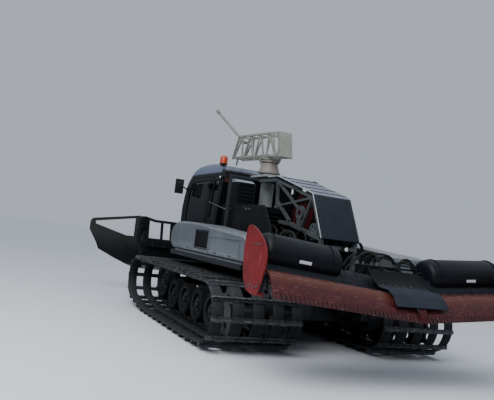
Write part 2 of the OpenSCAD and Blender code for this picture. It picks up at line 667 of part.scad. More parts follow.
// Mirrors and lamps of the cab and the winch.
module mirrors() {
    color("#1d1f22") both_sides() difference() {
        union() {
            slab([ahead(4905), ahead(4965)], [900, 960], [2550, 2630]);
            bar([ahead(4935), 945, 2590], [ahead(4935), 1070, 2640], 30, 8);
            slab([ahead(4905), ahead(4965)], [1050, 1240], [2470, 2800]);
        }
        cab_solid(0);
    }
}
roof_lamps = [-620, -400, 400, 620];
module lamps() {
    color("#e8862c") {
        difference() {
            pin_z(ahead(3420), 740, [roof_z, 3115], 50);
            cab_solid(0);
        }
        pin_z(ahead(3420), 740, [3110, 3310], 170);
    }
    color("#dfe3e6") {
        difference() {
            union() {
                both_sides() {
                    slab([ahead(2825), ahead(2886)], [820, 900], [2700, 2860]);
                    slab([ahead(4860), ahead(4965)], [560, 800], [1500, 1620]);
                    pin_y(ahead(2970), 2800, [860, 955], 60);
                    pin_y(ahead(3020), 2685, [870, 965], 50);
                }
                for (y = roof_lamps) pin_x([ahead(4780), ahead(4930)], y, 2895, 110);
            }
            cab_solid(0);
        }
        slab([ahead(905), ahead(975)], [350, 400], [2490, 2590]);
        slab([ahead(-120), ahead(-50)], [-160, -50], [1620, 1710]);
    }
}

// Push frame of the blade, hinged on the chassis, with a fork for the knuckle.
fork_x = ahead(5800);
blade_axis_z = 850;
module push_frame() {
    color("#1f2124") difference() {
        union() {
            both_sides() {
                side_plate([[ahead(4010), 590], [ahead(4110), 580], [ahead(5140), 700], [ahead(5140), 810],
                    [ahead(4110), 700], [ahead(4010), 690]], front_arm_y);
                pin_y(lift_pin[0], lift_pin[1], [front_arm_y[0] - 40, front_arm_y[1] + 40], 70);
                for (y = [312, 398]) side_plate([[ahead(5000), 740], [ahead(5200), 740], [ahead(5200), 840],
                    [ahead(5150), 950], [ahead(5050), 950]], [y, y + 20]);
                pin_y(lift_rod_pin[0], lift_rod_pin[1], [312, 418], 50);
            }
            slab([ahead(5130), ahead(5260)], [-430, 430], [690, 830]);
            plan_plate([[ahead(5250), -330], [ahead(5640), -130], [ahead(5640), 130], [ahead(5250), 330]], [700, 820]);
            slab([ahead(5560), ahead(5660)], [-130, 130], [700, 990]);
            slab([ahead(5640), ahead(5800)], [-100, 100], [700, 768]);
            slab([ahead(5640), ahead(5800)], [-100, 100], [932, 990]);
            pin_z(fork_x, 0, [700, 768], 200);
            pin_z(fork_x, 0, [932, 990], 200);
            pin_z(fork_x, 0, [700, 990], 80);
        }
    }
}
module blade_knuckle() {
    color("#2b2e31") difference() {
        union() {
            pin_z(fork_x, 0, [775, 925], 190);
            slab([fork_x, ahead(5955)], [-80, 80], [775, 925]);
            pin_x([ahead(5950), ahead(6130)], 0, blade_axis_z, 110);
        }
        pin_z(fork_x, 0, [700, 1000], 80 + 2 * pin_gap);
    }
}

// Blade and wings share one section, cut to their outlines in the front view.
function blade_section(e) = [[ahead(6385), e], [ahead(6415), e + 20], [ahead(6315), e + 130],
    [ahead(6262), e + 270], [ahead(6252), 1080], [ahead(6292), 1310], [ahead(6350), 1600], [ahead(6400), 1880],
    [ahead(6350), 1880], [ahead(6300), 1600], [ahead(6242), 1316], [ahead(6200), 1090], [ahead(6212), e + 250],
    [ahead(6275), e + 90]];
blade_half = blade_w / 2;
wing_pin = [ahead(6330), blade_half + 20];
blade_end = blade_half - 50;
module blade() {
    color("#17191b") {
        intersection() {
            side_plate(blade_section(blade_z), [-blade_end, blade_end]);
            translate([ahead(6100), 0, 0]) rotate([90, 0, 90]) linear_extrude(500) difference() {
                polygon([[-blade_end, 500], [blade_end, 500], [blade_end, 1870], [1180, 1810], [-1180, 1810],
                    [-blade_end, 1870]]);
                for (s = [-1, 1]) {
                    polygon([[s * 1330, 1340], [s * 1330, 1775], [s * 1180, 1745], [s * 1030, 1745], [s * 1030, 1340]]);
                    polygon([[s * 970, 1340], [s * 970, 1745], [s * 780, 1745], [s * 780, 1340]]);
                }
                polygon([[-670, 1340], [670, 1340], [670, 1745], [-670, 1745]]);
            }
        }
        difference() {
            union() {
                slab([ahead(5966), ahead(6220)], [-120, 120], [730, 970]);
                slab([ahead(6110), ahead(6230)], [-1380, 1380], [1130, 1250]);
                slab([ahead(6110), ahead(6230)], [-1100, 1100], [780, 900]);
                for (y = [-700, -130, 100, 670]) slab([ahead(6110), ahead(6225)], [y, y + 30], [780, 1250]);
                both_sides() for (z = ear_z) wing_ear(z);
            }
            pin_x([ahead(5900), ahead(6140)], 0, blade_axis_z, 110 + 2 * pin_gap);
            both_sides() pin_z(wing_pin[0], wing_pin[1], [560, 1900], 50 + 2 * pin_gap);
        }
    }
}
// Heights of the hinge's knuckles, those of the blade and those of the wing between them.
ear_z = [[600, 760], [1060, 1220], [1560, 1860]];
wing_knuckle_z = [[766, 1054], [1226, 1554]];
module wing_ear(z) {
    slab([ahead(6225), wing_pin[0] + 20], [blade_end - 30, wing_pin[1]], z);
    pin_z(wing_pin[0], wing_pin[1], z, 90);
}
wing_sweep = 12;
module wing() {
    tip = wing_pin[1] + wing_len;
    root = wing_pin[1] + 60;
    translate([wing_pin[0], wing_pin[1], 0]) rotate([0, 0, -wing_sweep]) translate([-wing_pin[0], -wing_pin[1], 0]) {
        intersection() {
            side_plate(blade_section(blade_z), [root, tip]);
            translate([ahead(6100), 0, 0]) rotate([90, 0, 90]) linear_extrude(500) difference() {
                polygon([[root, 560], [root + 160, 620], [tip - 647, 770], [tip - 259, 950], [tip - 197, 1090],
                    [tip, 1400], [tip, 1600], [tip - 40, 1660], [tip - 100, 1680], [root, 1870]]);
                polygon([[root + 110, 1345], [root + 290, 1340], [tip - 130, 1545], [tip - 130, 1610],
                    [root + 110, 1785]]);
            }
        }
        for (z = wing_knuckle_z) {
            slab([ahead(6225), wing_pin[0] + 15], [wing_pin[1], root + 30], z);
            pin_z(wing_pin[0], wing_pin[1], z, 90);
        }
    }
    pin_z(wing_pin[0], wing_pin[1], [600, 1860], 50);
}
module wing_left() { color("#17191b") wing(); }
module wing_right() { color("#17191b") mirror([0, 1, 0]) wing(); }

// Rear lifter: two lower arms and a top link of equal length and slope, which keep the tiller level.
link_run = [-1050, 480];
carrier_pin = rear_arm_pin + link_run;
carrier_top_pin = top_link_pin + link_run;
link_len = norm(link_run);
rear_rod_pin = rear_arm_pin + link_run * 620 / link_len;
module link_plate(pin, w, y) {
    difference() {
        translate([0, y[1], 0]) rotate([90, 0, 0]) linear_extrude(y[1] - y[0]) {
            strut(pin, pin + link_run, w);
            translate(pin) circle(r = w / 2 + 10);
            translate(pin + link_run) circle(r = w / 2 + 10);
        }
        children();
    }
}
module lifter_arms() {
    color("#1f2124") {
        both_sides() {
            link_plate(rear_arm_pin, 90, rear_arm_y)
                pin_y(carrier_pin[0], carrier_pin[1], [300, 500], 2 * (30 + pin_gap));
            pin_y(rear_arm_pin[0], rear_arm_pin[1], [rear_arm_y[0] - 34, rear_arm_y[1] + 34], 70);
        }
        pin_y(rear_rod_pin[0], rear_rod_pin[1], [-rear_arm_y[0] - 5, rear_arm_y[0] + 5], 50);
    }
}
module lifter_link() {
    color("#1f2124") {
        link_plate(top_link_pin, 60, [-25, 25])
            pin_y(carrier_top_pin[0], carrier_top_pin[1], [-50, 50], 2 * (25 + pin_gap));
        pin_y(top_link_pin[0], top_link_pin[1], [-60, 60], 50);
    }
}
// Carrier of the tiller, between the lifter and the two hinged halves.
flex_pin = [75, 1120];
module tiller_carrier() {
    color("#202327") {
        both_sides() {
            side_plate([[ahead(-790), 1080], [ahead(-790), 1180], [ahead(-840), 1300], [ahead(-950), 1300],
                [ahead(-950), 1080]], [300, 345]);
            pin_y(carrier_pin[0], carrier_pin[1], [300, 435], 60);
            side_plate([[ahead(-800), 1400], [ahead(-800), 1490], [ahead(-860), 1510], [ahead(-950), 1420],
                [ahead(-950), 1240], [ahead(-890), 1240]], [32, 56]);
            pin_x([ahead(-1180), ahead(-940)], flex_pin[0], flex_pin[1], 50);
        }
        pin_y(carrier_top_pin[0], carrier_top_pin[1], [-50, 50], 50);
        slab([ahead(-960), ahead(-880)], [-345, 345], [1240, 1300]);
        slab([ahead(-960), ahead(-900)], [-345, 345], [1080, 1250]);
        both_sides() side_plate([[ahead(-900), 1295], [ahead(-955), 1295], [ahead(-1012), 1444],
            [ahead(-1385), 1444], [ahead(-1425), 1392], [ahead(-1447), 1409], [ahead(-1400), 1470],
            [ahead(-1000), 1470], [ahead(-900), 1340]], [130, 160]);
        slab([ahead(-1230), ahead(-1170)], [-560, 480], [1468, 1495]);
    }
}
// Jumper hoses over the carrier's rear bar. Columns: y, radius.
jumpers = [[296, 165], [-30, 150], [-395, 130]];
module tiller_hoses() {
    color("#121315") for (j = jumpers) hose_arc(ahead(-1200), j[0], 90, j[1], 1495);
}
// Rubber sheet over the gap between the two halves.
module centre_flap() {
    color("#1c1d1f") side_plate([[ahead(-1423.5), 1439.5], [ahead(-1447), 1409], [ahead(-1500), 1346],
        [ahead(-1592), 1282], [ahead(-1704), 1232], [ahead(-1870), 1220], [ahead(-1975), 1162], [ahead(-2068), 1044],
        [ahead(-2080), 1052], [ahead(-1985), 1172], [ahead(-1875), 1234], [ahead(-1700), 1246],
        [ahead(-1600), 1295], [ahead(-1510), 1356], [ahead(-1458), 1418], [ahead(-1434.5), 1448]], [-430, 430]);
}
// One half of the tiller, drawn level and then bent up about its hinge on the carrier.
rotor_x = ahead(-1230);
half_end = tiller_w / 2 - 150;
hood_outline = [[ahead(-1545), 1040], [ahead(-1520), 1190], [ahead(-1420), 1300], [ahead(-1330), 1340],
    [ahead(-1100), 1340], [ahead(-1000), 1240], [ahead(-985), 1040]];
// Round cover over the drive of each half, turned about its own axis.
cover_axis = [ahead(-1262), 1362];
cover_r = 252;
module cover(y) {
    translate([cover_axis[0], 0, cover_axis[1]]) rotate([-90, 0, 0]) rotate_extrude() polygon([[0, y[0]],
        [cover_r - 90, y[0]], [cover_r - 40, y[0] + 15], [cover_r - 12, y[0] + 45], [cover_r, y[0] + 90],
        [cover_r, y[1] - 90], [cover_r - 12, y[1] - 45], [cover_r - 40, y[1] - 15], [cover_r - 90, y[1]], [0, y[1]]]);
}
module bent() {
    translate([0, flex_pin[0], flex_pin[1]]) rotate([tiller_bend, 0, 0])
        translate([0, -flex_pin[0], -flex_pin[1]]) children();
}
module hood(cover_from) {
    difference() {
        union() {
            side_plate(hood_outline, [125, half_end]);
            cover([cover_from, half_end - 5]);
        }
        side_plate([[ahead(-1600), 900], [ahead(-1527), 1040], [ahead(-1503), 1180], [ahead(-1410), 1283],
            [ahead(-1326), 1322], [ahead(-1108), 1322], [ahead(-1018), 1232], [ahead(-1003), 1040],
            [ahead(-990), 900]], [143, half_end - 18]);
        pin_y(rotor_x, rotor_z, [100, half_end + 10], 2 * (45 + pin_gap));
    }
    difference() {
        union() {
            slab([ahead(-1100), ahead(-1010)], [flex_pin[0], 130], [1080, 1165]);
            pin_x([ahead(-1100), ahead(-1010)], flex_pin[0], flex_pin[1], 86);
            slab([ahead(-1560), ahead(-1530)], [half_end - 10, half_end + 122], [840, 1045]);
        }
        pin_x([ahead(-1190), ahead(-1000)], flex_pin[0], flex_pin[1], 50 + 2 * pin_gap);
    }
    pin_x([ahead(-1880), ahead(-1540)], half_end + 100, 865, 24);
}
module flap() {
    difference() {
        side_plate([[ahead(-1533.5), 1110], [ahead(-1700), 1142], [ahead(-1850), 1132], [ahead(-1930), 1090],
            [ahead(-2105), 862], [ahead(-2125), 872], [ahead(-1945), 1106], [ahead(-1860), 1154],
            [ahead(-1700), 1166], [ahead(-1528.5), 1140]], [30, half_end + 130]);
        for (k = [0:comb_n - 1]) translate([0, 60 + k * comb_step, 0])
            slab([ahead(-2140), ahead(-2050)], [0, 14], [850, 940]);
    }
}
comb_n = 34;
comb_step = (half_end + 90) / comb_n;
module rotor() {
    difference() {
        union() {
            pin_y(rotor_x, rotor_z, [150, half_end - 25], 150);
            pin_y(rotor_x, rotor_z, [126, half_end - 1], 90);
            for (k = [0:tine_n - 1]) translate([rotor_x, 200 + k * tine_step, rotor_z])
                rotate([0, k * 62, 0]) slab([-185, 185], [0, 22], [-20, 20]);
        }
    }
}
tine_n = 28;
tine_step = (half_end - 280) / (tine_n - 1);
module finisher() {
    difference() {
        union() {
            side_plate([[ahead(-1600), 845], [ahead(-1470), 885], [ahead(-1345), 1010], [ahead(-1275), 1170],
                [ahead(-1228), 1346], [ahead(-1212), 1488], [ahead(-1212), 1610], [ahead(-1245), 1660],
                [ahead(-1320), 1667], [ahead(-1420), 1642], [ahead(-1563), 1580], [ahead(-1714), 1495],
                [ahead(-1800), 1415], [ahead(-1856), 1310], [ahead(-1864), 1210], [ahead(-1845), 1090],
                [ahead(-1815), 960], [ahead(-1780), 845]], [half_end + 160, half_end + 182]);
            slab([ahead(-1800), ahead(-1575)], [half_end + 100, half_end + 165], [853, 877]);
            pin_x([ahead(-1800), ahead(-1575)], half_end + 100, 865, 50);
        }
        pin_x([ahead(-1900), ahead(-1500)], half_end + 100, 865, 24 + 2 * pin_gap);
    }
}
module tiller_hood_left() { color("#1a1c1e") bent() hood(900); }
module tiller_hood_right() { color("#1a1c1e") mirror([0, 1, 0]) bent() hood(680); }
module tiller_flap_left() { color("#8a2b20") bent() flap(); }
module tiller_flap_right() { color("#8a2b20") mirror([0, 1, 0]) bent() flap(); }
module rotor_left() { color("#3a3c3f") bent() rotor(); }
module rotor_right() { color("#3a3c3f") mirror([0, 1, 0]) bent() rotor(); }
module finisher_left() { color("#9c2a22") bent() finisher(); }
module finisher_right() { color("#9c2a22") mirror([0, 1, 0]) bent() finisher(); }

chassis_frame();
frame_lugs();
wheel_arms();
road_wheels();
sprockets();
track_left();
track_right();
side_pods();
cab_shell();
cab_glass();
cab_interior();
engine_hood();
engine_block();
winch_frame();
winch_cover();
winch_hydraulics();
slew_pedestal();
intake_box();
exhaust_pipe();
mirrors();
lamps();
door_left();
door_left_glass();
door_right();
door_right_glass();
winch_drum();
boom();
push_frame();
blade_knuckle();
blade();
wing_left();
wing_right();
lift_barrels();
lift_rods();
lifter_arms();
lifter_link();
tiller_barrels();
tiller_rods();
tiller_carrier();
tiller_hoses();
centre_flap();
tiller_hood_left();
tiller_hood_right();
tiller_flap_left();
tiller_flap_right();
rotor_left();
rotor_right();
finisher_left();
finisher_right();
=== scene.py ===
# A winch snow groomer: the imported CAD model, dressed piece by piece.
import json
import math

import bmesh
import bpy
from mathutils import Matrix, Vector
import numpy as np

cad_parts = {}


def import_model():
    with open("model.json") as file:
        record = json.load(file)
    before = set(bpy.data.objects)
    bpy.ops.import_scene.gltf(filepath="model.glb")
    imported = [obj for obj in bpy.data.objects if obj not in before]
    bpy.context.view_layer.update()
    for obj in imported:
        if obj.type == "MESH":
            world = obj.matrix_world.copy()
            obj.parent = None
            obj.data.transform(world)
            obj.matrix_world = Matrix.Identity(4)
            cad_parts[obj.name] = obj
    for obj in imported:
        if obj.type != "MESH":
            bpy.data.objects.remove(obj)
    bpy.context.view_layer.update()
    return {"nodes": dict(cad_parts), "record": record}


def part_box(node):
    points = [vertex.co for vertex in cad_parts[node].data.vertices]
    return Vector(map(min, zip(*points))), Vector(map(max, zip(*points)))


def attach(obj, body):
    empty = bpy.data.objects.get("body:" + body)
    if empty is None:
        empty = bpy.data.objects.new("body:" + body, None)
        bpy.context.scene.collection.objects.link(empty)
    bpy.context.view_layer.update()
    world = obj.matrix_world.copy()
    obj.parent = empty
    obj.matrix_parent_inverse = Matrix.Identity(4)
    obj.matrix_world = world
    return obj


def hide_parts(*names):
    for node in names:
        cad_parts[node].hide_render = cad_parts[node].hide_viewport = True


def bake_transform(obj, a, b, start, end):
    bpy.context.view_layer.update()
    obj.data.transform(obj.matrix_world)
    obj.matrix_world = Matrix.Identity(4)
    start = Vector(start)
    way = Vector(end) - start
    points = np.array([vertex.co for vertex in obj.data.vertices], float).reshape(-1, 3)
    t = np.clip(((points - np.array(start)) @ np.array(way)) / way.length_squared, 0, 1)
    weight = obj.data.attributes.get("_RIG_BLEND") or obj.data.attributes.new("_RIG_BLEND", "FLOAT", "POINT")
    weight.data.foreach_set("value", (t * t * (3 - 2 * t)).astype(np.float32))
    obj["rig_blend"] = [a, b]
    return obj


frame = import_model()

# --- Camera ---
# The photograph is taken at standing eye height from the left rear, with the
# camera slightly turned, so the groomer leans to the right in the picture.
# Every place along the vehicle is counted ahead of the drive sprockets' axis.
sprocket_low, sprocket_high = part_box("sprockets")
drive_x = (sprocket_low.x + sprocket_high.x) / 2


def ahead(a):
    return drive_x + a


def new_object(name, data):
    """An object of its own in the scene."""
    made = bpy.data.objects.new(name, data)
    bpy.context.scene.collection.objects.link(made)
    return made


focal_px, picture_px, film_mm = 574, 494, 36
eye_height = 1.68
yaw, pitch, roll = (math.radians(a) for a in (-24.9, 3.6, 7.1))
sight = Vector((math.cos(pitch) * math.cos(yaw), math.cos(pitch) * math.sin(yaw), math.sin(pitch)))
level_right = Vector((math.sin(yaw), -math.cos(yaw), 0))
level_up = level_right.cross(sight)
picture_right = math.cos(roll) * level_right + math.sin(roll) * level_up
picture_up = -math.sin(roll) * level_right + math.cos(roll) * level_up
lens = bpy.data.cameras.new("camera")
lens.sensor_width = film_mm
lens.lens = focal_px / picture_px * film_mm
lens.clip_end = 400
camera = new_object("camera", lens)
camera.matrix_world = Matrix.Translation((ahead(-7.73), 5.27, eye_height)) @ Matrix(
    (picture_right, picture_up, -sight)
).transposed().to_4x4()
bpy.context.scene.camera = camera

# --- Floor and light ---
# A plain pale studio floor, a large soft lamp over the left rear, and a soft sky
# that is bright overhead and dim low down, as in a clearing on an overcast day.


def linear(hex_code):
    """The linear colour of an sRGB hex value."""
    parts = [int(hex_code[i : i + 2], 16) / 255 for i in (1, 3, 5)]
    return [c / 12.92 if c <= 0.04045 else ((c + 0.055) / 1.055) ** 2.4 for c in parts] + [1]


def add(tree, kind, inputs=(), **settings):
    """Adds one node. Its inputs, by name or in order, take a value, or the socket or node that feeds them."""
    new = tree.nodes.new(kind)
    for key, value in settings.items():
        setattr(new, key, value)
    for key, value in inputs.items() if isinstance(inputs, dict) else enumerate(inputs):
        if isinstance(value, bpy.types.Node):
            value = value.outputs[0]
        if isinstance(value, bpy.types.NodeSocket):
            tree.links.new(value, new.inputs[key])
        else:
            new.inputs[key].default_value = value
    return new


def new_surface(name):
    """A new material, its empty node tree, and the place on a piece that its patterns follow."""
    material = bpy.data.materials.new(name)
    material.use_nodes = True
    tree = material.node_tree
    tree.nodes.clear()
    return material, tree, add(tree, "ShaderNodeTexCoord").outputs["Object"]


def shaded(tree, tone, rough=0.5, metal=0.0, coat=0.0, shine=0.5, **more):
    """Ends a material's tree with its shader; more names further inputs."""
    shader = add(tree, "ShaderNodeBsdfPrincipled", {
        "Base Color": tone, "Roughness": rough, "Metallic": metal, "Coat Weight": coat, "Coat Roughness": 0.08,
        "Specular IOR Level": shine, **more})
    add(tree, "ShaderNodeOutputMaterial", (shader,))


def layered(tree, colour, *layers):
    """A colour with others laid over it in turn, each by its own amount."""
    colour = linear(colour)
    for amount, over in layers:
        inputs = {"Factor": amount, "A": colour, "B": linear(over)}
        colour = add(tree, "ShaderNodeMix", inputs, data_type="RGBA").outputs["Result"]
    return colour


def mottled(name, patch_mm, detail, dark, pale, roughness=None, **finish):
    """A surface of two cloudy tones. roughness gives the tones that begin and end
    a change of roughness, and what each brings: (tone, tone, rough, rough)."""
    material, tree, place = new_surface(name)
    clouds = add(tree, "ShaderNodeTexNoise", {
        "Vector": place, "Scale": 1000 / patch_mm, "Detail": detail}).outputs["Fac"]
    if roughness:
        finish["rough"] = add(tree, "ShaderNodeMapRange", (clouds, *roughness))
    shaded(tree, layered(tree, dark, (clouds, pale)), **finish)
    return material


floor_half, floor_z = 90, -0.001
floor_mesh = bpy.data.meshes.new("studio_floor")
floor_mesh.from_pydata(
    [(x * floor_half, y * floor_half, floor_z) for x, y in ((-1, -1), (1, -1), (1, 1), (-1, 1))], [], [(0, 1, 2, 3)])
floor = new_object("studio_floor", floor_mesh)
# Matt paint is an even pale grey, a little cloudy, with no mirror image of the groomer.
floor.data.materials.append(mottled("matte_floor_paint", 714, 4, "#ccd2d9", "#d6dbe1", rough=0.9))

world = bpy.data.worlds.new("studio")
world.use_nodes = True
tree = world.node_tree
sky_way = add(tree, "ShaderNodeTexCoord").outputs["Generated"]
sky_height = add(tree, "ShaderNodeSeparateXYZ", (sky_way,)).outputs["Z"]
overhead = add(tree, "ShaderNodeMapRange", (sky_height, 0.05, 0.75)).outputs[0]
backdrop = add(tree, "ShaderNodeLightPath").outputs["Is Camera Ray"]
sky = layered(tree, "#5b636c", (overhead, "#eef3fb"), (backdrop, "#b9c1cb"))
tree.links.new(sky, tree.nodes["Background"].inputs["Color"])
tree.nodes["Background"].inputs["Strength"].default_value = 0.95
bpy.context.scene.world = world
key = bpy.data.lights.new("soft_key", "AREA")
key.size = 9
key.energy = 1500
key_lamp = new_object("soft_key", key)
key_lamp.location = (ahead(-4.5), 7.5, 9.5)
key_lamp.rotation_euler = (Vector((ahead(2), 0, 1)) - key_lamp.location).to_track_quat("-Z", "Y").to_euler()

# --- Chassis, hinge plates and lifting arms ---
# Welded steel plate and box section, shot blasted and powder coated black, with
# pins that are held by bolted keepers. Melt water dries on it as a grey film.


def coated(name, colour, faded, rough, film_and_sheen=0.05, film_and_sheen_colour="#6b7178", patch_mm=350, peel_mm=4, metal=0.0,
           coat=0.0, shine=0.22, rub=0.0, rub_colour="#5d5f60", rub_mm=(60, 3, 60), past=None):
    """A sprayed or moulded skin: patchy tone, fine peel, rubbed lines, and a pale film on upper faces that is dried
    dust, and on some finishes a painted sheen of the sky as well.
    past gives a second colour, and where it begins and is full: (axis, metres, metres)."""
    material, tree, place = new_surface(name)
    patches = add(tree, "ShaderNodeTexNoise", {
        "Vector": place, "Scale": 1000 / patch_mm, "Detail": 5, "Roughness": 0.6}).outputs["Fac"]
    layers = [(add(tree, "ShaderNodeMapRange", (patches, 0.3, 0.7)).outputs[0], faded)]
    if past:
        second, limits = past
        split = add(tree, "ShaderNodeSeparateXYZ", (place,)).outputs
        beyond = 1.0
        for axis, begins, full in limits:
            edge = add(tree, "ShaderNodeMapRange", (split[axis], begins, full))
            beyond = add(tree, "ShaderNodeMath", (edge, beyond), operation="MULTIPLY").outputs[0]
        layers.append((beyond, second))
    if rub:
        drawn = add(tree, "ShaderNodeMapping", {"Vector": place, "Scale": [1000 / mm for mm in rub_mm]})
        lines = add(tree, "ShaderNodeTexNoise", {"Vector": drawn, "Scale": 1.0, "Detail": 3}).outputs["Fac"]
        scraped = add(tree, "ShaderNodeMapRange", (lines, 0.58, 0.74))
        patchy = add(tree, "ShaderNodeMapRange", (patches, 0.44, 0.58, 0.15, rub))
        layers.append((add(tree, "ShaderNodeMath", (scraped, patchy), operation="MULTIPLY").outputs[0], rub_colour))
    # Upward faces take the pale film: dried dust, and where the film is strong and pale, a painted highlight of the
    # sky.
    normal = add(tree, "ShaderNodeNewGeometry").outputs["Normal"]
    facing = add(tree, "ShaderNodeSeparateXYZ", (normal,)).outputs["Z"]
    upward = add(tree, "ShaderNodeMapRange", (facing, -0.1, 0.9, 0.12))
    # The film, with the painted sheen laid in it, breaks into specks 26 mm wide, as drops dry.
    specks = add(tree, "ShaderNodeTexNoise", {
        "Vector": place, "Scale": 1000 / 26.3, "Detail": 6, "Roughness": 0.7}).outputs["Fac"]
    speckled_film_and_sheen = add(tree, "ShaderNodeMapRange", (specks, 0.42, 0.72, film_and_sheen * 0.3, film_and_sheen * 2))
    film_and_sheen_amount = add(tree, "ShaderNodeMath", (upward, speckled_film_and_sheen), operation="MULTIPLY").outputs[0]
    tone = layered(tree, colour, *layers, (film_and_sheen_amount, film_and_sheen_colour))
    dulled = add(tree, "ShaderNodeMapRange", {"Value": film_and_sheen_amount, "To Min": rough, "To Max": min(1.0, rough + 0.6)})
    # Real peel is 2 mm wide or less; it is drawn 4 mm wide or more so that it shows.
    peel = add(tree, "ShaderNodeTexNoise", {"Vector": place, "Scale": 1000 / peel_mm, "Detail": 2}).outputs["Fac"]
    bump = add(tree, "ShaderNodeBump", {"Height": peel, "Strength": 0.12, "Distance": 0.001})
    shaded(tree, tone, dulled, metal, coat, shine, Normal=bump)
    return material


# The pack's record says on which body each CAD node rides.
body_of_node = {n: b for b, group in frame["record"]["behaviour"]["bodies"].items() for n in group}


def with_node(piece, node, stands_for=False):
    """Lets a finished piece ride on the body of a CAD node, or stand for that node."""
    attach(piece, body_of_node[node])
    if stands_for:
        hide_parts(node)
    return piece


def settle(piece):
    """Applies the piece's modifiers, and leaves a plain mesh."""
    done = bpy.data.meshes.new_from_object(piece.evaluated_get(bpy.context.evaluated_depsgraph_get()))
    piece.modifiers.clear()
    piece.data = done
    return piece


# Closer points are one, flatter edges go, and sharper ones are rounded.
same_point, flat_deg, sharp_deg = 0.00003, 0.4, 32


def dressed(node, material, edge_mm=5, steps=2, further=(), where=None, without=None):
    """The CAD node's own shape with its doubles merged and its edges rounded.
    where() says for a face which of the further materials it takes: 0 for none.
    The faces of whole bodies that without() picks are left out, for a finer piece."""
    shape = bmesh.new()
    shape.from_mesh(frame["nodes"][node].data)
    bmesh.ops.remove_doubles(shape, verts=shape.verts, dist=same_point)
    if without:
        bmesh.ops.delete(shape, geom=[v for v in shape.verts if without(v.co)], context="VERTS")
    bmesh.ops.dissolve_limit(shape, angle_limit=math.radians(flat_deg), verts=shape.verts, edges=shape.edges)
    for face in shape.faces:
        face.material_index = int(where(face.calc_center_median())) if where else 0
    mesh = bpy.data.meshes.new(node + "_dressed")
    shape.to_mesh(mesh)
    shape.free()
    for name in [a.name for a in mesh.attributes if a.name.startswith(("custom", "sharp"))]:
        mesh.attributes.remove(mesh.attributes[name])
    piece = new_object(node + "_dressed", mesh)
    for kind in (material, *further):
        mesh.materials.append(kind)
    mesh.shade_smooth()
    rounding = piece.modifiers.new("edges", "BEVEL")
    rounding.width = edge_mm / 1000
    rounding.segments = steps
    rounding.limit_method = "ANGLE"
    rounding.angle_limit = math.radians(sharp_deg)
    rounding.use_clamp_overlap = True
    rounding.harden_normals = True
    settle(piece)
    return with_node(piece, node, True)


def new_piece(name, shape, *materials, smooth_deg=35):
    """An object from a finished bmesh, with its normals outwards."""
    bmesh.ops.recalc_face_normals(shape, faces=shape.faces)
    mesh = bpy.data.meshes.new(name)
    shape.to_mesh(mesh)
    shape.free()
    for material in materials:
        mesh.materials.append(material)
    mesh.shade_smooth()
    mesh.set_sharp_from_angle(angle=math.radians(smooth_deg))
    return new_object(name, mesh)


def new_tree(name, *sockets):
    """An empty Geometry Nodes tree with its named inputs, and the sockets that bring them."""
    tree = bpy.data.node_groups.new(name, "GeometryNodeTree")
    for socket, kind in sockets:
        tree.interface.new_socket(socket, in_out="INPUT", socket_type="NodeSocket" + kind)
    tree.interface.new_socket("Geometry", in_out="OUTPUT", socket_type="NodeSocketGeometry")
    return tree, add(tree, "NodeGroupInput").outputs


def finish_tree(tree, instances, finish):
    """Ends a tree with plain geometry in one material."""
    real = add(tree, "GeometryNodeRealizeInstances", (instances,))
    add(tree, "NodeGroupOutput", (add(tree, "GeometryNodeSetMaterial", {"Geometry": real, "Material": finish}),))


def grown(name, node_tree, **inputs):
    """A new mesh from a Geometry Nodes tree, with its modifier applied."""
    piece = new_object(name, bpy.data.meshes.new(name))
    maker = piece.modifiers.new("made", "NODES")
    maker.node_group = node_tree
    for item in node_tree.interface.items_tree:
        if item.in_out == "INPUT" and item.name in inputs:
            maker[item.identifier] = inputs[item.name]
    return settle(piece)


def ring_of(shape, rows, material=0, close=True):
    """Faces between rows of vertices; each row is a closed section."""
    rows = rows + rows[:1] if close else rows
    for a, b in zip(rows, rows[1:]):
        for k in range(len(a)):
            face = shape.faces.new((a[k], a[(k + 1) % len(a)], b[(k + 1) % len(a)], b[k]))
            face.material_index = material


def round_section(radius_mm, sides=10):
    """The (sideways, up) pairs of a round bar, cord or tube."""
    r = radius_mm / 1000
    return [(r * math.cos(2 * math.pi * k / sides), r * math.sin(2 * math.pi * k / sides)) for k in range(sides)]


def rod(shape, start, end, radius, sides=8, material=0, end_radius=None):
    """A round bar between two points, with closed ends."""
    start, end = Vector(start), Vector(end)
    turn = (end - start).to_track_quat("Z", "Y").to_matrix()
    rows = [
        [shape.verts.new(at + turn @ Vector((u, v, 0))) for u, v in round_section(r * 1000, sides)]
        for at, r in ((start, radius), (end, radius if end_radius is None else end_radius))]
    ring_of(shape, rows, material, close=False)
    shape.faces.new(rows[0][::-1]).material_index = material
    shape.faces.new(rows[1]).material_index = material


# The tree sets one model on every spot, turned to face the spot's way.
spot_tree, given = new_tree("models_at_spots", ("Spots", "Object"), ("Model", "Object"), ("Size", "Float"),
                            ("Finish", "Material"))
spots = add(spot_tree, "GeometryNodeObjectInfo", {"Object": given["Spots"]})
way = add(spot_tree, "GeometryNodeInputNamedAttribute", {"Name": "facing"}, data_type="FLOAT_VECTOR")
turn = add(spot_tree, "FunctionNodeAlignRotationToVector", {"Vector": way.outputs["Attribute"]}, axis="Z")
model = add(spot_tree, "GeometryNodeObjectInfo", {"Object": given["Model"]})
placed = add(spot_tree, "GeometryNodeInstanceOnPoints", {
    "Points": spots.outputs["Geometry"], "Instance": model.outputs["Geometry"], "Rotation": turn,
    "Scale": given["Size"]})
finish_tree(spot_tree, placed, given["Finish"])

# The bolt is one unit across, and every use gives its size in millimetres.
head_shape = bmesh.new()
rod(head_shape, (0, 0, -0.1), (0, 0, 0.14), 0.62, 14)
rod(head_shape, (0, 0, 0.14), (0, 0, 0.5), 0.46, 6, end_radius=0.42)
bolt_head = new_piece("hex_bolt_head", head_shape)
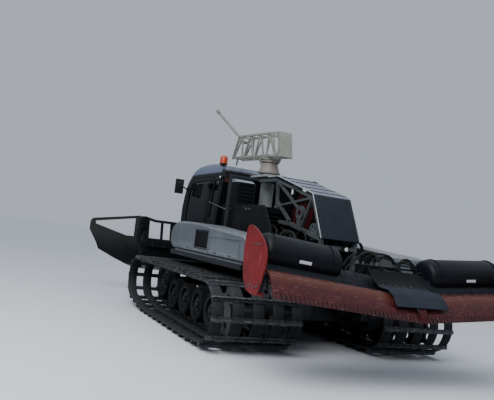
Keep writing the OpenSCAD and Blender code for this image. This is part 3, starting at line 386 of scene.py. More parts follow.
# Zinc plate is a dull grey metal, so each head is a small pale spot on black.
bolt_zinc = coated("zinc_plated_bolt_steel", "#5d6062", "#7b7e80", 0.4, film_and_sheen=0.08, metal=0.9)


def bolted(name, node, size_mm, spots, finish=bolt_zinc, model=bolt_head):
    """Bolt heads at spots of (a, y, z) and the way that each one faces."""
    mesh = bpy.data.meshes.new(name)
    mesh.from_pydata([(ahead(p[0]), p[1], p[2]) for p, way in spots], [], [])
    facing = mesh.attributes.new("facing", "FLOAT_VECTOR", "POINT")
    facing.data.foreach_set("vector", [c for p, way in spots for c in way])
    places = new_object(name + "_spots", mesh)
    piece = grown(name, spot_tree, Spots=places, Model=model, Size=size_mm / 1000, Finish=finish)
    bpy.data.objects.remove(places)
    return with_node(piece, node)


both = (1, -1)


def bolted_sides(name, node, size_mm, places):
    """Bolt heads on both sides at (a, y, z), which face sideways."""
    bolted(name, node, size_mm, [((a, s * y, z), (0, s, 0)) for s in both for a, y, z in places])


# Powder coat is a smooth, half gloss black that is rubbed grey in small patches.
black_coat = coated("semi_gloss_powder_coat_black", "#0b0c0e", "#15171a", 0.38, rub=0.25, rub_mm=(40, 40, 40))
for node in ("chassis_frame", "frame_lugs", "wheel_arms", "push_frame", "blade_knuckle", "lifter_arms", "lifter_link",
             "tiller_carrier", "lift_barrels", "tiller_barrels"):
    dressed(node, black_coat, 4)
bolted_sides("pin_keepers", "frame_lugs", 52, (
    (4.33, 0.459, 1.085), (0.2, 0.470, 0.65), (0.15, 0.300, 1.085), (0.2, 0.061, 0.97)))
bolted_sides("push_pin_keepers", "push_frame", 52, ((4.06, 0.446, 0.64), (5.1, 0.418, 0.9)))
bolted_sides("beam_bolts", "chassis_frame", 26, [(0.1 + 0.3 * k, 0.67, 1.10) for k in range(15)])
# Hard chrome is a bright mirror that the seals wipe dull in patches 17 mm wide.
chrome = mottled("hard_chromed_rod", 16.7, 3, "#8f9498", "#c9ccce", (0.3, 0.8, 0.08, 0.3), metal=1.0)
for node in ("lift_rods", "tiller_rods"):
    dressed(node, chrome, 2)

# --- Road wheels, idlers and sprockets ---
# Solid rubber tyres vulcanised on pressed steel rims, bolted to greased hubs,
# and toothed discs with bolted segments on the final drives.


def turned(shape, centre, profile, steps=48, material=0):
    """A closed section of (radius, sideways) pairs, turned about a cross axle."""
    rows = []
    for k in range(steps):
        c, s = math.cos(2 * math.pi * k / steps), math.sin(2 * math.pi * k / steps)
        rows.append([shape.verts.new((centre[0] + r * c, centre[1] + y, centre[2] + r * s)) for r, y in profile])
    ring_of(shape, rows, material)


track_out, track_w, belt_t, cleat_h = 2.200, 1.450, 0.022, 0.060
wheel_r, idler_r, sprocket_r = 0.300, 0.370, 0.420
wheel_z, idler_z, sprocket_z = cleat_h + belt_t + wheel_r, 0.570, 0.535
# Columns: how far ahead the axle is, its height, the radius over the tyre.
wheel_places = [(0.520 + 0.660 * i, wheel_z, wheel_r) for i in range(5)] + [(3.920, idler_z, idler_r)]
# Tyre rubber is matt and near black, and dries grey where water stood on it.
tyre_rubber = coated("black_tyre_rubber", "#0e0e0f", "#1a1a1b", 0.75, film_and_sheen=0.16, patch_mm=90, peel_mm=8)
# Rim enamel is a dark satin paint, chipped to a paler grey in 25 mm patches.
rim_enamel = coated("pressed_rim_enamel", "#191b1e", "#26292d", 0.4, rub=0.4, rub_mm=(25, 25, 25))
wheels = bmesh.new()
hub_bolt_mm = 86
hub_spots = []
for s in both:
    y_mid = s * (track_out - track_w / 2)
    for a, z, r in wheel_places:
        at = (ahead(a), y_mid, z)
        tread = [(r - 0.076, -0.085), (r - 0.060, -0.097), (r - 0.020, -0.099), (r - 0.008, -0.088)]
        for groove in (-0.05, 0.0, 0.05):
            tread += [(r - deep, groove + y) for deep, y in (
                (0.004, -0.02), (0.004, -0.006), (0.012, -0.004), (0.012, 0.004), (0.004, 0.006))]
        tread += [(r - 0.008, 0.088), (r - 0.020, 0.099), (r - 0.060, 0.097), (r - 0.076, 0.085)]
        turned(wheels, at, tread, 56)
        dish = [(0.070, -0.060), (0.110, -0.060), (0.118, -0.022), (0.150, -0.030), (r - 0.125, -0.018),
                (r - 0.108, -0.030), (r - 0.095, -0.085), (r - 0.074, -0.090), (r - 0.078, -0.078)]
        turned(wheels, at, dish + [(radius, -y) for radius, y in dish[::-1]], 48, 1)
        cap = [(0.0005, -0.02), (0.062, -0.02), (0.062, 0.012), (0.050, 0.026), (0.0005, 0.030)]
        turned(wheels, (at[0], y_mid + s * 0.07, z), cap, 28, 1)
        hub_spots += [((a + u, y_mid + s * 0.062, z + v), (0, s, 0)) for u, v in round_section(hub_bolt_mm, 8)]
with_node(new_piece("road_wheels_turned", wheels, tyre_rubber, rim_enamel), "road_wheels", True)
bolted("hub_bolts", "road_wheels", 20, hub_spots)
# Bare steel teeth are a dark grey metal, paler in spots where the belts run.
worn_steel = coated("worn_steel_teeth", "#2a2b2c", "#47484a", 0.42, metal=0.6, rub=0.5, rub_mm=(30, 30, 30))
dressed("sprockets", worn_steel, 3)
segment_bolt_mm, disc_offset = 330, 0.26
bolted("sprocket_bolts", "sprockets", 26, [
    ((u, s * (track_out - track_w / 2) + o * disc_offset, sprocket_z + v), (0, o, 0))
    for s in both for o in both for u, v in round_section(segment_bolt_mm, 12)])

# --- Tracks ---
# Rubber belts with fabric cores, joined by extruded aluminium cleats that are
# bolted across them. Each cleat has two guide horns that run beside the tyres.
loop_rolls = [
    (ahead(wheel_places[0][0]), wheel_z, wheel_r),
    (ahead(wheel_places[4][0]), wheel_z, wheel_r),
    (ahead(3.920), idler_z, idler_r),
    (ahead(0), sprocket_z, sprocket_r),
]
belt_w, belt_count, cleat_count = 0.180, 5, 36


def run_angle(i):
    """The outward way of the straight run from one roll to the next."""
    (ax, az, ar), (bx, bz, br) = loop_rolls[i % 4], loop_rolls[(i + 1) % 4]
    return math.atan2(bz - az, bx - ax) - math.acos((ar - br) / math.hypot(bx - ax, bz - az))


def track_path(out, step=0.055):
    """Points and outward ways round the loop, at a distance outside the rolls."""
    found = []
    for i in range(4):
        x, z, r = loop_rolls[i]
        start, end = run_angle(i - 1), run_angle(i)
        turn = (end - start) % (2 * math.pi)
        arc_steps = max(3, round((r + out) * turn / step))
        for k in range(arc_steps + 1):
            a = start + turn * k / arc_steps
            found.append((x + (r + out) * math.cos(a), z + (r + out) * math.sin(a), math.cos(a), math.sin(a)))
        bx, bz, br = loop_rolls[(i + 1) % 4]
        gx, gz = bx + (br + out) * math.cos(end), bz + (br + out) * math.sin(end)
        px, pz = found[-1][:2]
        run_steps = max(2, round(math.hypot(gx - px, gz - pz) / step))
        for k in range(1, run_steps):
            t = k / run_steps
            found.append((px + (gx - px) * t, pz + (gz - pz) * t, math.cos(end), math.sin(end)))
    return found


def block(shape, low, high, material=0):
    """A box between two corners."""
    v = [shape.verts.new((x, y, z)) for z in (low[2], high[2])
         for x, y in ((low[0], low[1]), (high[0], low[1]), (high[0], high[1]), (low[0], high[1]))]
    for f in ((3, 2, 1, 0), (4, 5, 6, 7), (0, 1, 5, 4), (1, 2, 6, 5), (2, 3, 7, 6), (3, 0, 4, 7)):
        shape.faces.new([v[k] for k in f]).material_index = material


# Belt rubber is matt, near black and grained by its fabric.
belt_rubber = coated("ply_reinforced_belt_rubber", "#0f1011", "#1b1c1d", 0.7, film_and_sheen=0.16, patch_mm=120, peel_mm=9)
# Extruded aluminium is stained dark, and scraped bright along each cleat by ice.
cleat_alloy = coated("worn_extruded_aluminium", "#26282b", "#55585c", 0.42, film_and_sheen=0.1, patch_mm=60, peel_mm=14,
                     metal=0.75, rub=0.6, rub_colour="#a9adb1", rub_mm=(12, 160, 12))
half = track_w / 2
cleat_shape = bmesh.new()
profile = [(-0.040, 0.001), (0.040, 0.001), (0.040, -0.010), (0.014, -0.020), (0.009, -cleat_h + 0.004),
           (0.005, -cleat_h), (-0.005, -cleat_h), (-0.009, -cleat_h + 0.004), (-0.014, -0.020), (-0.040, -0.010)]
ends = []
for y, trim in ((-half, 0.75), (-half + 0.03, 1), (half - 0.03, 1), (half, 0.75)):
    ends.append([cleat_shape.verts.new((x, y, z * trim if z < -0.02 else z)) for x, z in profile])
ring_of(cleat_shape, ends, close=False)
cleat_shape.faces.new(ends[0][::-1])
cleat_shape.faces.new(ends[-1])
for y in (-0.122, 0.122):
    block(cleat_shape, (-0.028, y - 0.008, belt_t), (0.028, y + 0.008, belt_t + 0.030))
    block(cleat_shape, (-0.016, y - 0.006, belt_t + 0.030), (0.016, y + 0.006, belt_t + 0.062))
cleat = new_piece("cleat", cleat_shape)
belt_places = [-half + belt_w / 2 + b * (track_w - belt_w) / (belt_count - 1) for b in range(belt_count)]
stud_shape = bmesh.new()
for y in belt_places:
    for dy in (-0.055, 0.055):
        for dx in (-0.027, 0.027):
            rod(stud_shape, (dx, y + dy, -0.008), (dx, y + dy, -0.019), 0.008, 6)
for y in (-0.5, -0.17, 0.17, 0.5):
    block(stud_shape, (-0.0055, y - 0.03, -cleat_h - 0.0001), (0.0055, y + 0.03, -cleat_h + 0.012))
studs = new_piece("cleat_studs", stud_shape)

# The cleats follow one closed line on the outer side of the belts.
path_points = track_path(belt_t)
path_curve = bpy.data.curves.new("cleat_path", "CURVE")
path_curve.dimensions = "3D"
path_line = path_curve.splines.new("POLY")
path_line.points.add(len(path_points) - 1)
for point, (x, z, nx, nz) in zip(path_line.points, path_points):
    point.co = (x, 0, z, 1)
path_line.use_cyclic_u = True
path = new_object("cleat_path", path_curve)

# The tree sets a cleat on each of the evenly spaced points of the line, turned along it.
cleat_tree, given = new_tree("cleats_along_belts", ("Path", "Object"), ("Cleat", "Object"), ("Count", "Int"),
                             ("Finish", "Material"))
line = add(cleat_tree, "GeometryNodeObjectInfo", {"Object": given["Path"]})
evenly = add(cleat_tree, "GeometryNodeResampleCurve", {"Curve": line.outputs["Geometry"], "Count": given["Count"]})
spots = add(cleat_tree, "GeometryNodeCurveToPoints", (evenly,), mode="EVALUATED")
along = add(cleat_tree, "FunctionNodeAlignRotationToVector", {"Vector": spots.outputs["Tangent"]},
            axis="X", pivot_axis="Y")
model = add(cleat_tree, "GeometryNodeObjectInfo", {"Object": given["Cleat"]})
placed = add(cleat_tree, "GeometryNodeInstanceOnPoints", {
    "Points": spots.outputs["Points"], "Instance": model.outputs["Geometry"], "Rotation": along})
finish_tree(cleat_tree, placed, given["Finish"])

belt_edge, belt_soft = belt_w / 2, 0.006
belt_section = [(-belt_edge, 0.004), (-belt_edge + belt_soft, 0), (belt_edge - belt_soft, 0), (belt_edge, 0.004),
                (belt_edge, belt_t - 0.004), (belt_edge - belt_soft, belt_t), (-belt_edge + belt_soft, belt_t),
                (-belt_edge, belt_t - 0.004)]
for side, name in ((1, "track_left"), (-1, "track_right")):
    y_mid = side * (track_out - track_w / 2)
    belts = bmesh.new()
    for y in belt_places:
        ring_of(belts, [
            [belts.verts.new((x + nx * out, y_mid + y + dy, z + nz * out)) for dy, out in belt_section]
            for x, z, nx, nz in track_path(0)])
    with_node(new_piece(name + "_belts", belts, belt_rubber), name, True)
    for part, model, finish in (("_cleats", cleat, cleat_alloy), ("_studs", studs, bolt_zinc)):
        copies = grown(name + part, cleat_tree, Path=path, Cleat=model, Count=cleat_count, Finish=finish)
        copies.data.transform(Matrix.Translation((0, y_mid, 0)))
        with_node(copies, name)
for used in (cleat, studs, path):
    bpy.data.objects.remove(used)

# --- Side pods ---
# Moulded composite housings over the tracks, sprayed in a metallic blue grey,
# with a dark slatted cooling opening, split lines, rubber edges and latches.

# A metallic basecoat under clear lacquer is a soft blue grey. Its upward faces are painted much paler: a little dust,
# and mostly a painted highlight of the sky along the pods' tops.
pod_coat = coated("metallic_blue_grey_basecoat_painted_highlight", "#494f55", "#656b71", 0.32, film_and_sheen=0.34, film_and_sheen_colour="#b6bcc4",
                  metal=0.3, coat=0.35, patch_mm=900)
# Moulded rubber is matt black with no colour of its own.
soft_black = coated("moulded_black_rubber", "#0a0a0b", "#131314", 0.65, film_and_sheen=0.08)


def in_pod_opening(c):
    """Whether a face lines the recess of the cooling opening."""
    return 1.57 < abs(c.y) < 1.699 and 1.385 < c.z < 1.70 and ahead(1.34) < c.x < ahead(1.94)


dressed("side_pods", pod_coat, 16, 3, [soft_black], in_pod_opening)


def sweep(shape, points, section, up=(0, 0, 1), material=0, close=False):
    """Carries a section of (sideways, up) pairs along the points."""
    points = [Vector(p) for p in points]
    rows = []
    for k, p in enumerate(points):
        last = points[k - 1] if k or close else p
        following = points[(k + 1) % len(points)] if close or k < len(points) - 1 else p
        along = (following - last).normalized()
        side = along.cross(Vector(up)).normalized()
        lift = side.cross(along)
        rows.append([shape.verts.new(p + side * u + lift * v) for u, v in section])
    ring_of(shape, rows, material, close)
    if not close:
        shape.faces.new(rows[0][::-1]).material_index = material
        shape.faces.new(rows[-1]).material_index = material


def flat_section(width_mm, height_mm):
    """A low strip with softened upper edges."""
    w, h = width_mm / 2000, height_mm / 1000
    return [(-w, -h), (w, -h), (w, h * 0.5), (w * 0.8, h), (-w * 0.8, h), (-w, h * 0.5)]


pod_side, slat_count, slat_step = 1.70, 10, 0.0285
slat_shape = bmesh.new()
block(slat_shape, (-0.285, -0.003, -0.016), (0.285, 0.003, 0.016))
bmesh.ops.bevel(slat_shape, geom=slat_shape.edges[:], offset=0.0015, segments=1, affect="EDGES")
slat = new_piece("pod_slat", slat_shape)
bolted("pod_slats", "side_pods", 1000, [
    ((1.64, s * 1.672, 1.405 + slat_step * k), (0, s * 0.55, 1)) for s in both for k in range(slat_count)],
    soft_black, slat)
bpy.data.objects.remove(slat)
pods = bmesh.new()
for s in both:
    for a, low, high in ((0.02, 1.30, 1.615), (1.29, 1.30, 1.72), (2.06, 1.30, 1.76), (2.92, 1.30, 1.74)):
        sweep(pods, [(ahead(a), s * pod_side, z) for z in (low, high)], flat_section(7, 1.2), (0, s, 0))
    sweep(pods, [(ahead(a), s * (pod_side - 0.002), z) for a, z in ((-0.17, 1.300), (3.14, 1.300), (3.27, 1.375))],
          flat_section(26, 7), (0, s, 0))
    sweep(pods, [(ahead(a), s * (pod_side + 0.001), z) for a, z in (
        (1.335, 1.375), (1.945, 1.375), (1.945, 1.695), (1.335, 1.695))], flat_section(16, 5), (0, s, 0), close=True)
    for a in (0.35, 0.95, 2.3, 2.72):
        near, far = sorted((s * 1.692, s * 1.707))
        block(pods, (ahead(a) - 0.055, near, 1.335), (ahead(a) + 0.055, far, 1.360), 1)
with_node(new_piece("pod_trim", pods, soft_black, bolt_zinc), "side_pods")
bolted_sides("pod_screws", "side_pods", 13, [
    (a, pod_side, 1.33) for a in (-0.1, 0.15, 0.65, 1.2, 1.5, 1.8, 2.1, 2.5, 2.85, 3.05)])

# --- Cab ---
# A bonded composite shell in dark gloss enamel with a pale roof cap, tinted
# windows glued into rubber seals, two doors on outside hinges, and two wipers.

# Gloss enamel is a deep blue black with soft reflections, and the cap is a pale blue grey.
roof_cap = [("Z", 2.905, 2.935), ("X", ahead(3.08), ahead(3.09))]
cab_enamel = coated("gloss_blue_black_enamel", "#05070b", "#0a0d12", 0.30, film_and_sheen=0.025, coat=0.05, shine=0.1,
                    patch_mm=800, past=("#5c6579", roof_cap))
dressed("cab_shell", cab_enamel, 14, 3)
for node in ("door_left", "door_right"):
    dressed(node, cab_enamel, 5)
# Smoked glass is dark and clear, with faint smears 200 mm wide that blur what it mirrors.
glass = mottled("smoked_laminated_glass", 200, 5, "#0b0f10", "#161c1d", (0.4, 0.75, 0.02, 0.14), shine=0.25,
                **{"Transmission Weight": 0.9, "IOR": 1.45})
for node in ("cab_glass", "door_left_glass", "door_right_glass"):
    frame["nodes"][node].data.materials.clear()
    frame["nodes"][node].data.materials.append(glass)

# Columns: height, place; the cab's side, front and rear walls.
side_wall = [(1.255, 0.965), (1.900, 0.975), (2.700, 0.925), (2.880, 0.895), (3.000, 0.870), (3.100, 0.820)]
front_wall = [(1.255, 4.690), (1.480, 4.850), (1.800, 5.010), (2.150, 5.080), (2.430, 5.060), (2.620, 5.010),
              (2.790, 4.930), (2.900, 4.845)]
rear_wall = [(1.255, 2.900), (2.820, 2.870), (2.940, 2.920)]


def wall_at(wall, z):
    """The wall's place at a height."""
    for (za, a), (zb, b) in zip(wall, wall[1:]):
        if za <= z <= zb:
            return a + (b - a) * (z - za) / (zb - za)
    return wall[-1][1]


def subdivided(points, step=0.12, close=True):
    """The outline with extra points along its long edges."""
    found = []
    for p, q in zip(points, points[1:] + points[:1] if close else points[1:]):
        n = max(1, round(math.dist(p, q) / step))
        found += [tuple(a + (b - a) * k / n for a, b in zip(p, q)) for k in range(n)]
    return found if close else found + [points[-1]]


def beside(s, points, out=0.001):
    """Places of (a, z) on the cab's side wall, lifted off it."""
    return [(ahead(a), s * (wall_at(side_wall, z) + out), z) for a, z in points]


def before(wall, points, out=0.001):
    """Places of (y, z) on the cab's front or rear wall, lifted off it."""
    return [(ahead(wall_at(wall, z) + out), y, z) for y, z in points]


door_window = [(3.51, 1.83), (4.75, 1.83), (4.795, 2.15), (4.785, 2.42), (4.745, 2.59), (4.67, 2.70), (4.54, 2.755),
               (3.51, 2.77)]
rear_quarter = [(3.00, 1.95), (3.33, 1.95), (3.33, 2.76), (3.00, 2.76)]
door_edge = [(3.425, 1.31), (4.56, 1.31), (4.69, 1.48), (4.82, 1.80), (4.88, 2.15), (4.87, 2.43), (4.83, 2.62),
             (4.74, 2.76), (4.58, 2.83), (3.425, 2.85)]
shell_trim = bmesh.new()
for s in both:
    sweep(shell_trim, beside(s, subdivided(rear_quarter)), flat_section(30, 6), (0, s, 0), close=True)
    sweep(shell_trim, beside(s, subdivided([(2.93, 1.75), (3.40, 1.75)], close=False)), flat_section(24, 9), (0, s, 0))
for wall, low, high, wide_low, wide_high, way in (
        (front_wall, 1.83, 2.78, 0.845, 0.815, 1), (rear_wall, 2.33, 2.76, 0.64, 0.64, -1)):
    outline = subdivided([(-wide_low, low), (wide_low, low), (wide_high, high), (-wide_high, high)])
    sweep(shell_trim, before(wall, outline, way * 0.001), flat_section(30, 6), (way, 0, 0.15), close=True)
for s in both:
    wiper_blade = [(s * y, z) for y, z in ((0.30, 1.79), (0.20, 2.10), (0.05, 2.50))]
    wiper_arm = [(s * (y + 0.02), z) for y, z in ((0.45, 1.95), (0.12, 2.20), (-0.02, 2.62))]
    sweep(shell_trim, before(front_wall, wiper_blade, 0.012), flat_section(14, 8), (1, 0, 0))
    sweep(shell_trim, before(front_wall, wiper_arm, 0.006), flat_section(10, 5), (1, 0, 0))
    rod(shell_trim, (ahead(5.0), s * 0.30, 1.76), (ahead(5.045), s * 0.30, 1.80), 0.022, 10)
with_node(new_piece("shell_seals_and_wipers", shell_trim, soft_black), "cab_shell")
gap_inset = 0.012
for s, name in ((1, "door_left"), (-1, "door_right")):
    trim = bmesh.new()
    sweep(trim, beside(s, subdivided(door_window)), flat_section(32, 6), (0, s, 0), close=True)
    gap = [(a + (gap_inset if a < 4 else -gap_inset), z + (gap_inset if z < 2 else -gap_inset)) for a, z in door_edge]
    sweep(trim, beside(s, subdivided(gap), 0.0005), flat_section(9, 1.5), (0, s, 0), close=True)
    latch = ((4.33, -0.002), (4.34, 0.032), (4.38, 0.04), (4.52, 0.04), (4.56, 0.032), (4.57, -0.002))
    sweep(trim, [beside(s, [(a, 1.62)], out)[0] for a, out in latch], flat_section(24, 10), (0, 0, 1), 1)
    grip = ((1.90, -0.002), (1.92, 0.045), (2.10, 0.05), (2.40, 0.05), (2.58, 0.045), (2.60, -0.002))
    sweep(trim, [beside(s, [(3.50, z)], out)[0] for z, out in grip], round_section(12), (1, 0, 0), 1)
    with_node(new_piece(name + "_seal_and_handles", trim, soft_black, black_coat), name)
bolted_sides("hinge_bolts", "cab_shell", 16, [(3.37, 0.995, z) for z in (1.492, 1.588, 2.572, 2.668)])

# --- Driver's place ---
# Two sprung seats in black woven cloth, a centre console with a lever, a curved
# dashboard and a moulded steering wheel, seen dimly through the smoked glass.

# Grained vinyl is a soft dark grey without bright spots.
vinyl = coated("grained_black_vinyl", "#101112", "#191a1c", 0.55, film_and_sheen=0.0, peel_mm=3)
dressed("cab_interior", vinyl, 24, 3)


def banded(name, spacing_mm, dark, pale, strength, deep_mm, direction="DIAGONAL", distortion=0.0, **finish):
    """A surface of fine ridges at a real spacing, dark in the furrows and pale on top, or of one colour."""
    material, tree, place = new_surface(name)
    ridges = add(tree, "ShaderNodeTexWave", {
        "Vector": place, "Scale": 1000 / spacing_mm / (2 * math.pi), "Distortion": distortion},
        bands_direction=direction).outputs["Fac"]
    bump = add(tree, "ShaderNodeBump", {"Height": ridges, "Strength": strength, "Distance": deep_mm / 1000})
    shaded(tree, layered(tree, dark, (ridges, pale)) if pale else linear(dark), Normal=bump, **finish)
    return material


# Woven cloth is a dull grey that turns paler where it curves out of sight.
# The real yarns are 2 mm apart; they are drawn 8 mm apart so that they show.
cloth = banded("woven_seat_cloth", 8, "#1b1d21", "#34373d", 0.3, 1, distortion=0.6, rough=0.85,
               **{"Sheen Weight": 0.3})


def cushion(name, centre, size, lean=0.0):
    """A crowned foam pad with two sewn channels, its sides pulled in."""
    # Shares of the pad's own height and width.
    middle, crown_h, channel_h, channel_at, channel_w, pull_in = 0.5, 0.28, 0.16, 0.25, 0.035, 0.06
    shape = bmesh.new()
    # Each row runs along the underside and back along the top, and the ends are closed.
    steps = 12
    across = [k / steps - 0.5 for k in range(steps + 1)]
    rows = [[shape.verts.new((u, w, 0)) for w in across] + [shape.verts.new((u, w, 1)) for w in across[::-1]]
            for u in across]
    ring_of(shape, rows, close=False)
    for row in (rows[0], rows[-1]):
        for k in range(steps):
            shape.faces.new((row[k], row[k + 1], row[-2 - k], row[-1 - k]))
    for v in shape.verts:
        u, w = abs(v.co.x) * 2, abs(v.co.y) * 2
        crown = (1 - u ** 4) * (1 - w ** 4)
        channel = channel_h * math.exp(-(((abs(v.co.y) - channel_at) / channel_w) ** 2))
        pull = 1 - pull_in * (1 - min(1, (u * w) ** 2))
        height = 1 - crown_h * (1 - crown) - channel if v.co.z > middle else 0.12 * (1 - crown)
        v.co = Vector((v.co.x * pull, v.co.y * pull, height))
    to_place = Matrix.Translation(centre) @ Matrix.Rotation(lean, 4, "Y") @ Matrix.Diagonal((*size, 1))
    bmesh.ops.transform(shape, matrix=to_place, verts=shape.verts)
    piece = new_piece(name, shape, cloth, smooth_deg=80)
    soft = piece.modifiers.new("soft", "SUBSURF")
    soft.levels = soft.render_levels = 1
    settle(piece)
    with_node(piece, "cab_interior")


each_side = ((1, "left"), (-1, "right"))
for s, name in each_side:
    cushion("seat_pad_" + name, (ahead(3.71), s * 0.38, 1.728), (0.5, 0.48, 0.085))
    cushion("seat_back_pad_" + name, (ahead(3.482), s * 0.38, 2.04), (0.54, 0.46, 0.07), math.radians(90))
lever = bmesh.new()
rod(lever, (ahead(3.95), 0.03, 1.84), (ahead(3.98), 0.03, 1.97), 0.016, 10)
rod(lever, (ahead(3.98), 0.03, 1.96), (ahead(3.995), 0.03, 2.06), 0.03, 12, end_radius=0.024)
block(lever, (ahead(4.50), -0.22, 1.80), (ahead(4.53), 0.06, 1.98))
with_node(new_piece("control_lever_and_screen", lever, vinyl), "cab_interior")

# --- Lamps and mirrors ---
# An orange beacon on a rubber foot, work lamps with clear ribbed lenses in black
# housings, red and amber side lamps, and moulded mirror heads.


def lens_plastic(name, colour, glow):
    """A moulded acrylic lens with pressed ribs 6 mm apart, faintly lit."""
    return banded(name, 6, colour, None, 0.4, 2, direction="Z", rough=0.15, coat=0.4, **{
        "Transmission Weight": 0.2, "Emission Color": linear(colour), "Emission Strength": glow})


# Acrylic is a glossy clear colour, with thin bright lines along its ribs.
amber = lens_plastic("amber_lens", "#b83c10", 0.05)
clear_lens = lens_plastic("clear_lens", "#d8dce0", 0.08)
red_lens = lens_plastic("red_lens", "#4c0a0f", 0.02)
beacon_at = Vector((ahead(3.42), 0.74, 0))


def in_beacon(v):
    """Whether a point belongs to the plain beacon that the finer one stands for."""
    return (v.xy - beacon_at.xy).length < 0.1 and v.z > 2.9


dressed("lamps", soft_black, 5, 2, without=in_beacon)
lights = bmesh.new()
clear, red, orange, rubber = range(4)
# Columns: radius in mm, height, material.
beacon_profile = [(52, 3.070, rubber), (52, 3.092, rubber), (30, 3.096, rubber), (30, 3.108, rubber),
                  (84, 3.112, rubber), (85, 3.140, rubber), (78, 3.144, orange), (80, 3.200, orange),
                  (79, 3.240, orange), (73, 3.270, orange), (60, 3.292, orange), (40, 3.305, orange),
                  (14, 3.310, orange)]
levels = [[lights.verts.new(beacon_at + Vector((u, v, z))) for u, v in round_section(r, 28)]
          for r, z, kind in beacon_profile]
for k, (r, z, kind) in enumerate(beacon_profile[1:]):
    ring_of(lights, levels[k : k + 2], kind, close=False)
lights.faces.new(levels[0][::-1]).material_index = rubber
lights.faces.new(levels[-1]).material_index = orange
for a, y, z, r, kind in ((2.97, 0.955, 2.80, 0.026, clear), (3.02, 0.965, 2.685, 0.021, red)):
    for s in both:
        rod(lights, (ahead(a), s * (y - 0.001), z), (ahead(a), s * (y + 0.006), z), r, 20, kind, r * 0.8)
for y in (-0.62, -0.4, 0.4, 0.62):
    rod(lights, (ahead(4.929), y, 2.895), (ahead(4.938), y, 2.895), 0.047, 24, clear, 0.040)
for s in both:
    block(lights, (ahead(4.964), s * 0.68 - 0.11, 1.51), (ahead(4.970), s * 0.68 + 0.11, 1.61), clear)
    block(lights, (ahead(2.819), s * 0.86 - 0.034, 2.71), (ahead(2.826), s * 0.86 + 0.034, 2.78), red)
rod(lights, (ahead(-0.119), -0.105, 1.665), (ahead(-0.129), -0.105, 1.665), 0.034, 20, clear, 0.028)
block(lights, (ahead(0.915), 0.399, 2.50), (ahead(0.965), 0.406, 2.58), clear)
with_node(new_piece("lamp_lenses", lights, clear_lens, red_lens, amber, soft_black), "lamps")
dressed("mirrors", soft_black, 18, 3)
# Silvered glass is a bright mirror with a faint haze in 83 mm patches.
mirror_glass = mottled("silvered_mirror_glass", 83, 4, "#8d969c", "#aab2b6", rough=0.03, metal=1.0)
faces = bmesh.new()
for s in both:
    block(faces, (ahead(4.9035), s * 1.145 - 0.078, 2.50), (ahead(4.9055), s * 1.145 + 0.078, 2.77))
with_node(new_piece("mirror_glasses", faces, mirror_glass), "mirrors")

# --- Engine hood, intake and exhaust ---
# Sheet steel hood with louvres and screwed panels, a box of the air cleaner with
# a pale cap, and a stack of heat stained tube that is cut at a slant.

# Satin enamel is a charcoal that keeps its dark tone under the open sky.
hood_coat = coated("satin_charcoal_enamel", "#090b0d", "#121518", 0.42, film_and_sheen=0.05, shine=0.09)
dressed("engine_hood", hood_coat, 10, 3)
# Cast iron is a rough dull grey with grains 12 mm wide.
cast_iron = coated("cast_engine_iron", "#26272a", "#3a3b3d", 0.6, peel_mm=12)
dressed("engine_block", cast_iron, 8)
# The same enamel on the box ends at a sharp line under its pale cap.
intake_coat = coated("satin_charcoal_with_pale_cap", "#0a0c0e", "#131619", 0.42, shine=0.1,
                     past=("#868d93", [("Z", 2.698, 2.702)]))
dressed("intake_box", intake_coat, 12, 3)
# Heat turns bare steel a dull straw brown in wide bands.
heat_steel = coated("heat_stained_steel", "#3d3a37", "#5f5850", 0.42, metal=0.75, rub=0.5, rub_colour="#6a4c34",
                    rub_mm=(160, 160, 25))
dressed("exhaust_pipe", heat_steel, 3)
panels = bmesh.new()
hood_side, louvre_count, louvre_step = 0.88, 9, 0.042
for s in both:
    for a in (1.80, 2.34):
        sweep(panels, [(ahead(a), s * hood_side, z) for z in (1.30, 2.235)], flat_section(6, 1), (0, s, 0))
        sweep(panels, [(ahead(a), s * y, 2.25) for y in (0.87, 0.42)], flat_section(6, 1), (0, 0, 1))
    for k in range(louvre_count):
        sweep(panels, [(ahead(a), s * 0.879, 1.72 + k * louvre_step) for a in (1.87, 2.27)],
              [(-0.012, 0), (0.012, 0), (-0.008, 0.010)], (0, s, 0))
    for a in (1.56, 1.70, 2.44, 2.70):
        near, far = sorted((s * 0.876, s * 0.892))
        block(panels, (ahead(a) - 0.04, near, 2.16), (ahead(a) + 0.04, far, 2.19), 1)
with_node(new_piece("hood_panels", panels, hood_coat, bolt_zinc), "engine_hood")
bolted_sides("hood_screws", "engine_hood", 13, [
    (a, hood_side, z) for a in (1.50, 1.76, 1.84, 2.30, 2.38, 2.78) for z in (1.40, 1.80, 2.20)] + [
    (a, hood_side, z) for a, z in ((0.70, 1.35), (0.70, 1.80), (0.86, 2.06), (1.05, 2.21), (1.25, 2.21), (1.40, 2.21))])
bolted("intake_screws", "intake_box", 14, [
    ((2.26, y, z), (-1, 0, 0)) for y in (0.485, 0.835) for z in (2.28, 2.46, 2.66)] + [
    ((a, 0.85, z), (0, 1, 0)) for a in (2.30, 2.53, 2.76) for z in (2.28, 2.64)])

# --- Winch ---
# Welded flat struts in light grey enamel, a red drum wound with steel rope, two
# guide sheaves, and a folded sheet cover with pale edges and blind rivets.

# Satin enamel in three greys: rubbed and middling on the struts, pale on the column, dark on the posts.
winch_grey = coated("satin_mid_grey_enamel", "#34383b", "#494e51", 0.42, film_and_sheen=0.08, film_and_sheen_colour="#8a9094", rub=0.4,
                    rub_mm=(30, 30, 30))
column_grey = coated("satin_light_grey_enamel", "#7c8284", "#969b9c", 0.45, film_and_sheen=0.1, film_and_sheen_colour="#b4b9ba")
post_grey = coated("satin_dark_grey_enamel", "#23272b", "#31363b", 0.45, film_and_sheen=0.06, film_and_sheen_colour="#6a6f73", shine=0.12)


